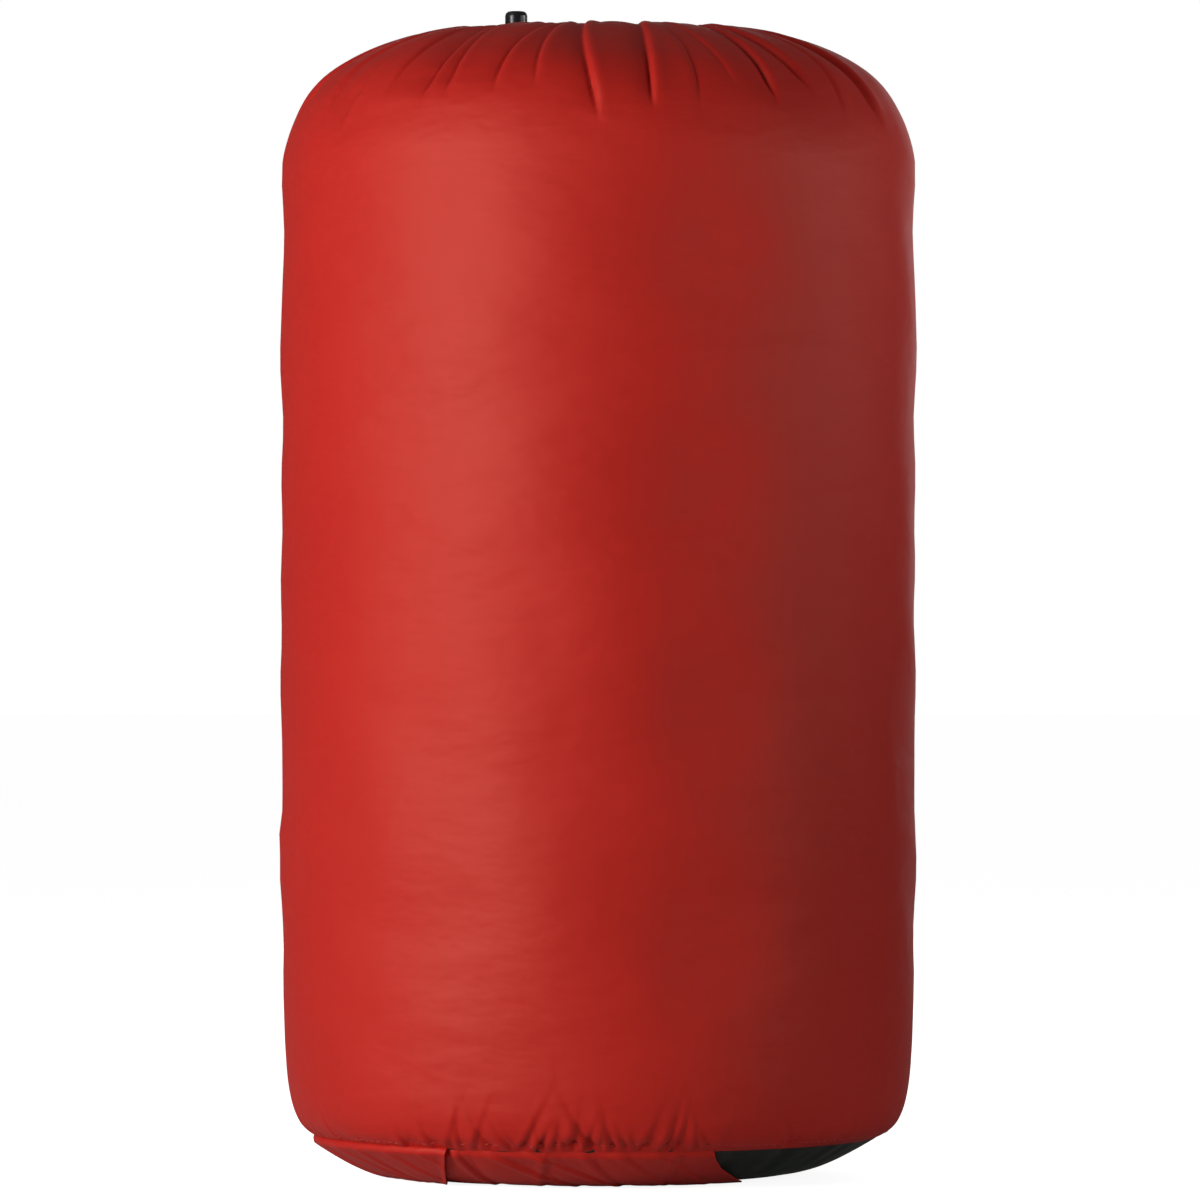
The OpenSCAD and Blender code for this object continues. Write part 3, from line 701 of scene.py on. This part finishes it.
# The sack's surface: its profile carried round the axis, moved along its own normal by the rise of the cloth
def sackPoint(bearing, s, lift=0.0):
    bearing, s = np.broadcast_arrays(np.asarray(bearing, float), np.asarray(s, float))
    r = np.interp(s, profileS, profileLine[:, 0])
    z = np.interp(s, profileS, profileLine[:, 1])
    nr = np.interp(s, profileS, profileNormal[:, 0])
    nz = np.interp(s, profileS, profileNormal[:, 1])
    d = clothRise(bearing, s) + lift
    b = np.radians(bearing)
    return np.stack([(r + d * nr) * np.sin(b), -(r + d * nr) * np.cos(b), z + d * nz], -1)


def makeSack():
    rows = np.concatenate([np.linspace(0, seamS, 3)[:-1], np.linspace(seamS, seamS + 0.030, 19)[:-1],
                           np.linspace(seamS + 0.030, shoulderS + 0.008, 40)[:-1],
                           np.linspace(shoulderS + 0.008, crestS, 32)[:-1], np.linspace(crestS, rimS, 18)])
    bearing = np.concatenate([np.linspace(-95, 95, sackShape["frontColumns"], endpoint=False),
                              np.linspace(95, 265, sackShape["rearColumns"], endpoint=False)])
    grid = sackPoint(bearing[None, :], rows[:, None])
    uv = np.stack(np.broadcast_arrays(np.radians(bearing)[None, :] * sackRadius, rows[:, None]), -1)
    piece = gridObject("stuff_sack_wall", grid, uv, wrapColumns=True)
    dressed(piece, redNylon)
    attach(piece, "packed_bag")
    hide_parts("sack_body")
    return piece


sackWall = makeSack()
print("sack wall made:", len(sackWall.data.polygons), "faces")


# A stitch is a short rounded bar: rings of six sides along a low arch between two points of the seam
def stitchRow(name, ends, normals, thickness, arch, material):
    a, b = ends
    count = len(a)
    t = np.array([0, 0.12, 0.35, 0.65, 0.88, 1.0])
    size = np.array([0.25, 0.8, 1.0, 1.0, 0.8, 0.25]) * thickness / 2
    centre = a[:, None] + (b - a)[:, None] * t[None, :, None] + \
        normals[:, None] * (arch * np.sin(np.pi * t))[None, :, None]
    along = unitRows(b - a)
    side = unitRows(np.cross(along, normals))
    angle = np.linspace(0, 2 * np.pi, 6, endpoint=False)
    ring = centre[:, :, None] + size[None, :, None, None] * (
        np.cos(angle)[None, None, :, None] * normals[:, None, None] +
        np.sin(angle)[None, None, :, None] * side[:, None, None])
    points = ring.reshape(-1, 3)
    r, c = np.meshgrid(np.arange(5), np.arange(6), indexing="ij")
    quad = np.stack([r * 6 + c, r * 6 + (c + 1) % 6, (r + 1) * 6 + (c + 1) % 6, (r + 1) * 6 + c], -1).reshape(-1, 4)
    quads = (quad[None] + (np.arange(count) * 36)[:, None, None]).reshape(-1, 4)
    start = np.arange(6)[::-1][None] + (np.arange(count) * 36)[:, None]
    end = (30 + np.arange(6))[None] + (np.arange(count) * 36)[:, None]
    mesh = bpy.data.meshes.new(name)
    mesh.from_pydata(points, [], quads.tolist() + start.tolist() + end.tolist())
    mesh.polygons.foreach_set("use_smooth", np.ones(len(mesh.polygons), bool))
    mesh.update()
    piece = bpy.data.objects.new(name, mesh)
    scene.collection.objects.link(piece)
    dressed(piece, material)
    return piece


def outward(bearing, up=0.0):
    b = np.radians(bearing)
    return unitRows(np.stack([np.sin(b), -np.cos(b), np.full_like(b, up)], -1))


baseShape = {"flatRadius": 0.079, "lapEdge": -0.0607, "front": (23, 25, 28, 33, 38, 44), "rearStart": -252}


def baseProfile():
    return splineThrough([(0.0005, 0.0004), (0.02, 0.0003), (0.05, 0.0003), (0.070, 0.0003),
                          (baseShape["flatRadius"], 0.0006), (0.086, 0.0018), (0.093, 0.0038), (0.0995, 0.0066),
                          (0.1055, 0.0097), (0.111, 0.0128), (0.115, 0.0152), (seamRadius - 0.0006, seamZ - 0.0006)],
                         10)


baseLine = baseProfile()
baseS = arcLength(baseLine)
baseTurn = np.gradient(baseLine, axis=0)
baseNormal = unitRows(np.stack([baseTurn[:, 1], -baseTurn[:, 0]], 1))
baseEnd = float(baseS[-1])
bandStart = float(np.interp(0.083, baseLine[:, 0], baseS))


# Point of the base at a bearing and a length from its centre, lifted off it by some distance
def basePoint(bearing, s, lift):
    bearing, s, lift = np.broadcast_arrays(np.asarray(bearing, float), np.asarray(s, float), np.asarray(lift, float))
    r = np.interp(s, baseS, baseLine[:, 0])
    z = np.interp(s, baseS, baseLine[:, 1])
    nr = np.interp(s, baseS, baseNormal[:, 0])
    nz = np.interp(s, baseS, baseNormal[:, 1])
    b = np.radians(bearing)
    rr = r + lift * nr
    return np.stack([rr * np.sin(b), -rr * np.cos(b), np.maximum(z + lift * nz, 0.0002)], -1)


def makeBasePanel():
    s = np.concatenate([np.linspace(0, 0.085, 14)[:-1], np.linspace(0.085, baseEnd, 26)])
    bearing = np.linspace(-180, 180, 360, endpoint=False)
    b, ss = np.meshgrid(np.radians(bearing), s)
    x = wrapDegrees(np.degrees(b))
    out = smoothStep(ss, 0.085, baseEnd)
    ripple = 0.5 * np.sin(b * 37 + 1.3 * np.sin(b * 5)) + 0.35 * np.sin(b * 61 + 2.0 * np.sin(b * 4) + ss * 60)
    lift = -0.0008 - 0.0006 * out * (1 + ripple) * (0.6 + 0.4 * np.sin(x / 23.0))
    grid = basePoint(np.degrees(b), ss, lift)
    uv = np.stack([grid[..., 0], grid[..., 1]], -1)
    piece = gridObject("base_panel_cloth", grid[::-1], None, wrapColumns=True)
    mesh = piece.data
    layer = mesh.uv_layers.new(name="clothMap")
    co = np.zeros(len(mesh.vertices) * 3)
    mesh.vertices.foreach_get("co", co)
    loops = np.zeros(len(mesh.loops), np.int32)
    mesh.loops.foreach_get("vertex_index", loops)
    layer.data.foreach_set("uv", co.reshape(-1, 3)[loops, :2].astype(np.float32).ravel())
    mesh.flip_normals()
    dressed(piece, greenNylon)
    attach(piece, "packed_bag")
    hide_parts("base_panel")
    return piece


# Bearing at which the upright folded edge stands: the arcsine of its distance from the middle over the radius
def lapBearing(v):
    s = bandStart + (baseEnd - bandStart) * v
    return -np.degrees(np.arcsin(np.clip(-baseShape["lapEdge"] / np.interp(s, baseS, baseLine[:, 0]), 0, 1)))


# A length of binding: a strip from the seam down under the base, its two ends following the bearings given from the
# bottom up, with slanting pleats; the edge that laps over the other strip stands off by a fold
def makeBinding(name, node, startBearing, endBearing, extra, pleats, folded, columns):
    v = np.linspace(0, 1, 58)[:, None]
    u = np.linspace(0, 1, columns)[None, :]
    if folded:
        u = 1 - (1 - u) ** 1.35
    first, last = startBearing(v), endBearing(v)
    bearing = first + (last - first) * u
    edgeWave = 0.0004 * np.sin(bearing / 5.1)
    s = bandStart + edgeWave * (1 - v) + (baseEnd + 0.0004 - bandStart - edgeWave * (1 - v)) * v
    lift = np.full(bearing.shape, extra)
    for where, size, slant, width in pleats:
        x = (bearing - where) * (np.pi / 180) * 110 + slant * (v - 1) * 26
        near = np.sqrt(x ** 2 + 1.0) - 1.0
        lift = lift + size * mm * (np.exp(-((x + width) / width) ** 2) * 0.8 - np.exp(-near / (width * 0.9))) * \
            (0.3 + 0.7 * v)
    lift = lift + 0.0006 * np.sin(v * np.pi) * (1 + 0.4 * np.sin(bearing / 4.3))
    if folded:
        x = np.abs(bearing - last) * (np.pi / 180) * 110
        lift = np.maximum(lift, extra) + 0.0007 * np.exp(-(x / 2.0) ** 2)
    lift = np.maximum(lift * smoothStep(v, 1.0, 0.9 if not folded else 0.975) + 0.0002 + (0.0007 if folded else 0),
                      0.0002) - (0.0016 if folded else 0.0022) * smoothStep(v, 0.95 if folded else 0.86, 1.0)
    grid = basePoint(bearing, s, lift)
    uv = np.stack([np.radians(bearing) * 0.11, np.broadcast_to(s, bearing.shape)], -1)
    piece = gridObject(name, grid, uv)
    cloth = piece.modifiers.new("cloth", "SOLIDIFY")
    cloth.thickness = 0.0006
    cloth.offset = -1
    dressed(piece, redNylon)
    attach(piece, "packed_bag")
    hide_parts(node)
    return piece


# pleats of the two base strips: bearing, depth share, slant, width; the front strip's fade towards the right
frontPleats = [(float(b) + gatherRandom.uniform(-1, 1), max(0.6, 1.8 - 0.03 * (float(b) + 28)),
                gatherRandom.uniform(-0.6, 1.8), 2.8) for b in np.arange(-28, 22, 6.5)]
rearPleats = [(float(b), gatherRandom.uniform(0.7, 1.2), gatherRandom.uniform(0.4, 1.0), 2.7)
              for b in np.arange(-82, -34, 9)]
rearPleats += [(float(b), 0.5 + 0.5 * float(k), 0.8 * math.sin(b), 2.2) for b, k in
               zip(np.arange(-250, -88, 6.5), random.uniform(0.2, 1.2, 25))]
makeBasePanel()
makeBinding("base_binding_cloth_front", "base_binding_front", lambda v: lapBearing(v) - 3.5,
            lambda v: np.interp(1 - v, np.linspace(0, 1, 6), baseShape["front"]), 0.0003, frontPleats,
            False, 260)
makeBinding("base_binding_cloth_rear", "base_binding_rear", lambda v: baseShape["rearStart"] + 0 * v,
            lapBearing, 0.0009, rearPleats, True, 420)
seamBearings = np.arange(-180, 180, 1.75)
seamA = sackPoint(seamBearings, seamS + 0.0008, -0.0001)
seamB = sackPoint(seamBearings + 1.15, seamS + 0.0008, -0.0001)
baseStitches = stitchRow("base_seam_stitches", (seamA, seamB), outward(seamBearings, -0.3), 0.0005, 0.0001, redThread)
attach(baseStitches, "packed_bag")
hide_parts("base_seam_thread")
print("base made")

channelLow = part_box("drawcord_channel")[0]


# The bunched hem: a ring whose outline in section is a rounded tongue, fluted all round like a closed paper fan
def makeChannel():
    section = splineThrough([(0.0105, 0.0016), (0.0125, 0.0006), (0.0152, 0.0006), (0.0167, 0.003), (0.0166, 0.008),
                             (0.0162, 0.0125), (0.0150, 0.0155), (0.0128, 0.0168), (0.0110, 0.0155), (0.0098, 0.012),
                             (0.0094, 0.007), (0.0098, 0.003), (0.0105, 0.0016)], 6)[:-1]
    columns = 420
    b = np.linspace(-np.pi, np.pi, columns, endpoint=False)[:, None]
    k = np.arange(len(section))[None, :]
    r, h = section[k, 0], section[k, 1]
    flute = np.abs(np.sin((b * 34 + 4 * np.sin(b * 3) + 2.5 * np.sin(b * 5 + 1)) / 2)) ** 0.7 - 0.6
    outerSide = smoothStep(r, 0.0115, 0.0145)
    sway = 0.5 * np.sin(b * 7 + h * 260)
    rr = r + flute * 0.0016 * (0.35 + 0.65 * outerSide) + 0.0003 * sway
    zz = h + smoothStep(h, 0.010, 0.016) * (0.0011 * flute + 0.0008 * np.sin(b * 9 + 1) - 0.0006)
    grid = np.stack([rr * np.sin(b), -rr * np.cos(b), channelLow.z + np.clip(zz, 0.0002, 1)], -1)
    uv = np.stack([np.broadcast_to(b * 0.13, rr.shape), np.broadcast_to(k * 0.0011, rr.shape)], -1)
    piece = gridObject("drawcord_channel_cloth", grid, uv, wrapColumns=True, wrapRows=True)
    dressed(piece, redNylon)
    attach(piece, "packed_bag")
    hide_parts("drawcord_channel")
    return piece


makeChannel()
stitchBearings = np.arange(-180, 180, 7.5)
hemA, hemB = (np.stack([0.0178 * np.sin(np.radians(stitchBearings + d)), -0.0178 * np.cos(np.radians(
    stitchBearings + d)), np.full(len(stitchBearings), channelLow.z + 0.0037)], -1) for d in (0, 5.0))
hemStitches = stitchRow("channel_stitches", (hemA, hemB), outward(stitchBearings), 0.0006, 0.0002, redThread)
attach(hemStitches, "packed_bag")
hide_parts("channel_thread")

# The cord inside the hem: a ring whose tube is the same braid as the free ends
def makeLoop():
    loopLow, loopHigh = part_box("drawcord_loop")
    ringRadius = (loopHigh.x - loopLow.x) / 2 - cordLook["diameter"] / 2
    middle = (loopHigh.z + loopLow.z) / 2
    b = np.linspace(0, 2 * np.pi, 120, endpoint=False)[:, None]
    a = np.linspace(0, 2 * np.pi, 14, endpoint=False)[None, :]
    r = ringRadius + cordLook["diameter"] / 2 * np.cos(a)
    grid = np.stack([r * np.cos(b), r * np.sin(b), middle + cordLook["diameter"] / 2 * np.sin(a) + 0 * b], -1)
    uv = np.stack(np.broadcast_arrays(a / (2 * np.pi), b * ringRadius), -1)
    return placed(gridObject("drawcord_loop_cord", grid, uv, wrapColumns=True, wrapRows=True), blackCord,
                  "drawcord_loop")


# The lock's spring: a wire wound as a helix whose two end coils lie flat
springLook = {"wire": 0.62 * mm, "coils": 5.0, "shortest": 0.4481}


def makeSpring():
    springLow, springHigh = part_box("cord_lock_spring")
    axis = ((springLow.x + springHigh.x) / 2, (springLow.y + springHigh.y) / 2)
    outer = (springHigh.x - springLow.x) / 2
    t = np.linspace(0, springLook["coils"], 150)
    climb = smoothStep(t, 0.5, springLook["coils"] - 0.5) * 0.35 + np.clip((t - 0.6) / (springLook["coils"] - 1.2), 0,
                                                                           1) * 0.65
    r = outer - springLook["wire"] / 2
    tall = springHigh.z - springLow.z - springLook["wire"]
    line = np.stack([axis[0] + r * np.cos(t * 2 * np.pi), axis[1] + r * np.sin(t * 2 * np.pi),
                     springLow.z + springLook["wire"] / 2 + tall * climb], 1)
    piece = tubeObject("lock_spring_wire", line, springLook["wire"] / 2, 8, (0, 0, 1))
    placed(piece, springWire, "cord_lock_spring", "cord_lock")
    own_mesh(piece)
    return piece


makeLoop()
makeSpring()
print("mouth made")


# The upright seam at the back: both edges folded together and topstitched, slightly drawn in along its length
seamLook = {"bearing": 180, "halfWidth": 5.5 * mm, "low": seamS + 0.002, "high": crestS + 0.024, "pitch": 3.4 * mm}
stripS = np.linspace(seamLook["low"], seamLook["high"], 330)


def seamPoint(across, s, lift):
    bearing = seamLook["bearing"] + np.degrees(across / sackRadius)
    draw = -0.00035 * np.cos(across / seamLook["halfWidth"] * math.pi / 2) * (0.5 + 0.5 * np.sin(s * 900 + 1.2))
    return sackPoint(bearing, s, lift + draw)


def makeSeamStrip():
    across = np.linspace(-1, 1, 15)[None, :] * seamLook["halfWidth"]
    edge = 0.00025 * np.sin(stripS[:, None] * 610) * np.sign(across)
    swell = 0.0007 + 0.0003 * np.sin((across / seamLook["halfWidth"] + 1) * math.pi * 1.5) ** 2
    swell = swell + 0.00022 * np.sin(stripS[:, None] * 1150 + across * 500)
    grid = seamPoint(across + edge, stripS[:, None], swell)
    uv = np.stack(np.broadcast_arrays(across, stripS[:, None]), -1)
    piece = gridObject("side_seam_cloth", grid, uv)
    cloth = piece.modifiers.new("cloth", "SOLIDIFY")
    cloth.thickness = 0.0006
    cloth.offset = -1
    placed(piece, redNylon, "side_seam_strip")
    return piece


def makeSeamStitches():
    at = np.arange(seamLook["low"] + 0.003, seamLook["high"] - 0.004, seamLook["pitch"])
    starts, ends, outs = [], [], []
    for side in (-0.62, 0.62):
        across = np.full(len(at), side * seamLook["halfWidth"])
        starts.append(seamPoint(across, at, 0.00105))
        ends.append(seamPoint(across, at + 0.68 * seamLook["pitch"], 0.00105))
        outs.append(outward(seamLook["bearing"] + np.degrees(across / sackRadius)))
    piece = stitchRow("side_seam_stitches", (np.vstack(starts), np.vstack(ends)), np.vstack(outs), 0.0005, 0.00022,
                      redThread)
    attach(piece, "packed_bag")
    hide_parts("side_seam_thread")
    return piece


# The blank care label: caught under the seam along one edge, its free edge curling away from the wall
labelPlace = {"caughtAt": 176.2, "width": 0.025, "low": 0.097, "high": 0.138}


def makeLabel():
    u = np.linspace(0, 1, 26)[None, :]
    v = np.linspace(0, 1, 34)[:, None]
    s = np.interp(labelPlace["low"] + (labelPlace["high"] - labelPlace["low"]) * v, profileLine[:24 * 12, 1],
                  profileS[:24 * 12])
    bearing = labelPlace["caughtAt"] - np.degrees(u * labelPlace["width"] / sackRadius)
    curl = 0.0006 + 0.0016 * u ** 2 + 0.0012 * (u * v) ** 3 + 0.0009 * u * (1 - v) ** 4 * u
    curl = curl + 0.00012 * np.sin(v * 9 + u * 3) * u
    grid = sackPoint(bearing, s + 0.0004 * np.sin(u * 3), curl)
    uv = np.stack(np.broadcast_arrays(u * labelPlace["width"], s), -1)
    piece = gridObject("blank_care_label", grid[:, ::-1], uv[:, ::-1])
    satin = piece.modifiers.new("satin", "SOLIDIFY")
    satin.thickness = 0.0003
    satin.offset = 0
    placed(piece, labelSatin, "care_label")
    return piece


makeSeamStrip()
makeSeamStitches()
makeLabel()
print("rear seam and label made")

# The bag itself, rolled. The roll is half turns of growing radius about two centres half a pitch apart. A place in it
# is a length of turn in degrees from the inner end, a distance out across the pitch, and a height.
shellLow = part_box("bag_shell")[0]
innerHollow = 0.0102
halfTurns = 9
rollOuter = -shellLow.x
pitch = (rollOuter - innerHollow) / ((halfTurns + 1) / 2)
rollShift = pitch / 8
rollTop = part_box("zip_tape_inner")[0].z - 0.0003
puff = np.array([3, 3, 3, 6, 10, 16, 23, 36, 36]) * mm
rollLook = {"stations": 420, "cloth": 0.5 * mm, "gap": 0.1 * mm, "quiltEvery": quiltEvery, "pinch": 1.35 * mm}
quiltThick = pitch / 4
fillThick = quiltThick - 2 * rollLook["cloth"] - 3.5 * rollLook["gap"]


# Point of the roll; even half turns are centred on the roll's middle and odd ones half a pitch to the right
def rollPoint(turn, out, height):
    turn, out, height = np.broadcast_arrays(*(np.asarray(part, float) for part in (turn, out, height)))
    k = np.clip(np.floor(turn / 180), 0, halfTurns - 1)
    angle = np.radians(360 - turn)
    radius = innerHollow + k * pitch / 2 + out
    return np.stack([np.where(k % 2 > 0, pitch / 2, 0) + radius * np.cos(angle),
                     rollShift + radius * np.sin(angle), height], -1)


# Length of the quilt from its inner end to a turn: the sum of the half circles before it and the part of this one
def rollLength(turn):
    k = np.clip(np.floor(np.asarray(turn) / 180), 0, halfTurns - 1)
    base = math.pi * (k * (innerHollow + pitch / 2) + pitch / 2 * k * (k - 1) / 2)
    return base + np.radians(turn - 180 * k) * (innerHollow + k * pitch / 2 + pitch / 2)


# The folded quilt in section, at a depth from its outer face: down one side, round the fold at the bottom, up the
# other side, round the fold at the top and back the same way inside; every layer turns about the same centres
def foldedPath(depth, low, top):
    depth, low = np.broadcast_arrays(depth, low)
    half = pitch / 2
    legs = np.linspace(0, 1, 16)
    arc = np.linspace(0, 1, 9)[1:-1] * math.pi
    bottom = low + half
    upper = top - pitch / 4
    d = depth[:, None]
    b = bottom[:, None]
    across = [d + 0 * legs, half - (half - d) * np.cos(arc), 2 * half - d + 0 * legs,
              1.5 * half + (half / 2 - d) * np.cos(arc), half + d + 0 * legs, half + d * np.cos(arc),
              half - d + 0 * legs]
    up = [top + (b - top) * legs, b - (half - d) * np.sin(arc), b + (upper - b) * legs,
          upper + (half / 2 - d) * np.sin(arc), upper + (b - upper) * legs, b - d * np.sin(arc),
          b + (top - b) * legs]
    return np.concatenate([x + 0 * d for x in across], 1), np.concatenate([x + 0 * d for x in up], 1)


# One layer: its section, thickened to both sides and closed, carried along the roll; where a quilting line crosses,
# the layer dips towards the middle of the quilt by a bell curve
def makeLayer(name, node, depth, thickness, pinch, material):
    turn = np.linspace(0.02, 180 * halfTurns - 0.02, rollLook["stations"])
    turn = np.sort(np.concatenate([turn] + [[180 * k - 0.4, 180 * k + 0.4] for k in range(1, halfTurns)]))
    length = rollLength(turn)
    away = (length + rollLook["quiltEvery"] / 2) % rollLook["quiltEvery"] - rollLook["quiltEvery"] / 2
    bell = np.exp(-(away / 0.0075) ** 2)
    low = np.interp((turn - 90) / 180, np.arange(halfTurns), puff)
    low = np.maximum(low, puff[np.clip((turn // 180).astype(int), 0, halfTurns - 1)])
    first = depth + pinch[0] * bell
    second = depth + thickness + pinch[1] * bell
    outA, upA = foldedPath(first, low, rollTop - 0.0002)
    outB, upB = foldedPath(second, low, rollTop - 0.0002)
    out = np.concatenate([outA, outB[:, ::-1]], 1)
    up = np.concatenate([upA, upB[:, ::-1]], 1)
    grid = rollPoint(turn[:, None], out, up)
    uv = np.stack([up + 0 * out, np.broadcast_to(length[:, None], out.shape)], -1)
    piece = gridObject(name, grid, uv, wrapColumns=True, closeEnds=True)
    placed(piece, material, node)
    return piece


clothDepth = rollLook["gap"]
fillDepth = clothDepth + rollLook["cloth"] + rollLook["gap"]
linerDepth = fillDepth + fillThick + rollLook["gap"]
pinchIn = rollLook["pinch"]
shell = makeLayer("rolled_outer_cloth", "bag_shell", clothDepth, rollLook["cloth"], (pinchIn, pinchIn), greenNylon)
filling = makeLayer("rolled_fibre_filling", "bag_insulation", fillDepth, fillThick, (pinchIn, -pinchIn), fibreFill)
liner = makeLayer("rolled_inner_cloth", "bag_liner", linerDepth, rollLook["cloth"], (-pinchIn, -pinchIn), linerCloth)


# Zip tapes: two woven ribbons on the top of the roll, edges rounded, with a sewing line along the outer edge
def makeTape(name, node):
    tapeLow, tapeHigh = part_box(node)
    inner = node == "zip_tape_inner"
    zipOut = pitch / 4
    edges = (zipOut - 4.7 * mm, zipOut - 0.2 * mm) if inner else (zipOut + 0.2 * mm, zipOut + 4.7 * mm)
    turn = np.linspace(0.02, 180 * halfTurns - 0.02, 520)[:, None]
    section = np.array([(0, 0.35), (0.04, 0.08), (0.12, 0), (0.3, 0), (0.5, 0), (0.7, 0), (0.88, 0), (0.96, 0.08),
                        (1, 0.35), (1, 0.65), (0.96, 0.92), (0.88, 1), (0.7, 1), (0.5, 1), (0.3, 1), (0.12, 1),
                        (0.04, 0.92), (0, 0.65)])
    out = edges[0] + (edges[1] - edges[0]) * section[None, :, 0]
    sewn = np.exp(-((section[None, :, 0] - (0.2 if inner else 0.8)) / 0.08) ** 2) * 0.12
    up = tapeLow.z + (tapeHigh.z - tapeLow.z) * (section[None, :, 1] * (0.94 - sewn) + 0.03)
    grid = rollPoint(turn, out, up)
    uv = np.stack(np.broadcast_arrays(section[None, :, 0] * 0.0045, rollLength(turn)), -1)
    piece = gridObject(name, grid, uv, wrapColumns=True, closeEnds=True)
    placed(piece, blackTape, node)
    return piece


# The coil: rounded bars laid across the chain at a slant, each leaning the other way from its neighbour
def makeCoil():
    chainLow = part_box("zip_chain")[0]
    firstTooth = 0.004
    allTurns = np.linspace(0, 180 * halfTurns, 4000)
    lengths = rollLength(allTurns)
    at = np.arange(firstTooth, lengths[-1] - 0.003, 1.75 * mm)
    turn = np.interp(at, lengths, allTurns)
    lean = np.where(np.arange(len(at)) % 2 > 0, 1, -1)
    half = np.where(lean > 0, 1, -1) * 0.5 * mm
    zipOut = pitch / 4
    slant = 0.45 * mm / (innerHollow + turn / 180 * pitch / 2 + zipOut) * 57.3
    height = chainLow.z + 0.72 * mm
    a = rollPoint(turn - slant * lean, zipOut - 1.9 * mm + half, height)
    b = rollPoint(turn + slant * lean, zipOut + 1.9 * mm + half * 0.6, height)
    up = np.tile([[0.0, 0.0, 1.0]], (len(at), 1))
    piece = stitchRow("zip_coil", (a, b), up, 1.25 * mm, 0.42 * mm, zipNylon)
    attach(piece, "packed_bag")
    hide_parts("zip_chain")
    return piece


makeTape("zip_tape_inner_ribbon", "zip_tape_inner")
makeTape("zip_tape_outer_ribbon", "zip_tape_outer")
makeCoil()


# A tie ribbon: a woven band round the roll, drawn narrower and standing out a little at one bearing at the back
def makeRibbon(name, node, seed):
    bandLow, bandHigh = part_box(node)
    radius = (bandHigh.x - bandLow.x) / 2
    middle = (bandHigh.z + bandLow.z) / 2
    half = (bandHigh.z - bandLow.z) / 2
    b = np.linspace(0, 2 * np.pi, 260, endpoint=False)[:, None]
    section = splineThrough([(-1, 0.5), (-0.97, 0.15), (-0.85, 0.05), (-0.4, 0.02), (0, 0.06), (0.4, 0.02),
                             (0.85, 0.05),
                             (0.97, 0.15), (1, 0.5), (0.97, 0.85), (0.85, 0.95), (0, 0.9), (-0.85, 0.95),
                             (-0.97, 0.85), (-1, 0.5)], 2)[:-1]
    knotted = np.exp(-((b - np.radians(seed)) / 0.07) ** 2)
    narrow = 1 - 0.42 * knotted
    sway = 0.0006 * np.sin(b * 4 + seed) + 0.0003 * np.sin(b * 11)
    r = radius - 0.0009 + 0.00084 * section[None, :, 1] + 0.00003 + knotted * 0.0005
    z = middle + half * 0.965 * section[None, :, 0] * narrow + sway * 0.5
    grid = np.stack([r * np.sin(b), -r * np.cos(b), z], -1)
    uv = np.stack(np.broadcast_arrays(b * radius, section[None, :, 0] * half), -1)
    piece = gridObject(name, grid, uv, wrapColumns=True, wrapRows=True)
    placed(piece, blackTape, node)
    return piece


makeRibbon("tie_ribbon_upper_band", "tie_ribbon_upper", 205)
makeRibbon("tie_ribbon_lower_band", "tie_ribbon_lower", 212)


# The closure tab: a flat pad with rounded corners, |x|^n + |y|^n = 1 in plan, and a sewn border pressed into its top
def makeTab():
    tabLow, tabHigh = (np.array(v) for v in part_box("closure_tab"))
    u = np.linspace(0, 2 * np.pi, 96, endpoint=False)[None, :]
    rings = np.array([(0.02, 0), (0.5, 0), (0.93, 0), (0.985, 0.1), (1, 0.35), (1, 0.6), (0.985, 0.86), (0.95, 0.97),
                      (0.9, 1), (0.84, 0.93), (0.8, 0.9), (0.76, 0.93), (0.7, 1), (0.5, 0.99), (0.25, 1), (0.02, 1)])
    outline = (np.abs(np.cos(u)) ** 5 + np.abs(np.sin(u)) ** 5) ** (-1 / 5)
    middle, size = (tabLow + tabHigh) / 2, (tabHigh - tabLow) / 2
    frameAngle = math.radians(183.5)
    along = np.array([-math.sin(frameAngle), math.cos(frameAngle), 0])
    acrossWay = np.array([math.cos(frameAngle), math.sin(frameAngle), 0])
    x = 3.95 * mm * outline * np.cos(u) * rings[:, :1]
    y = 10.9 * mm * outline * np.sin(u) * rings[:, :1]
    z = tabLow[2] + 2 * size[2] * (0.02 + 0.96 * rings[:, 1:]) + 0 * u
    grid = np.array([middle[0], middle[1], 0]) + x[..., None] * acrossWay + y[..., None] * along
    grid[..., 2] = z
    uv = np.stack([x, y], -1)
    piece = gridObject("closure_tab_pad", grid, uv, wrapColumns=True, closeEnds=True)
    return placed(piece, blackTape, "closure_tab")


makeTab()
for node, material in (("cord_eyelet", blackEnamel), ("cord_lock_body", lockPlastic),
                       ("cord_lock_button", lockPlastic), ("head_zip_slider", blackEnamel),
                       ("head_zip_pull", lockPlastic), ("foot_zip_slider", blackEnamel),
                       ("foot_zip_pull", lockPlastic), ("zip_stops", blackEnamel)):
    dressed(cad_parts[node], material)
print("bag, zip and ties made")
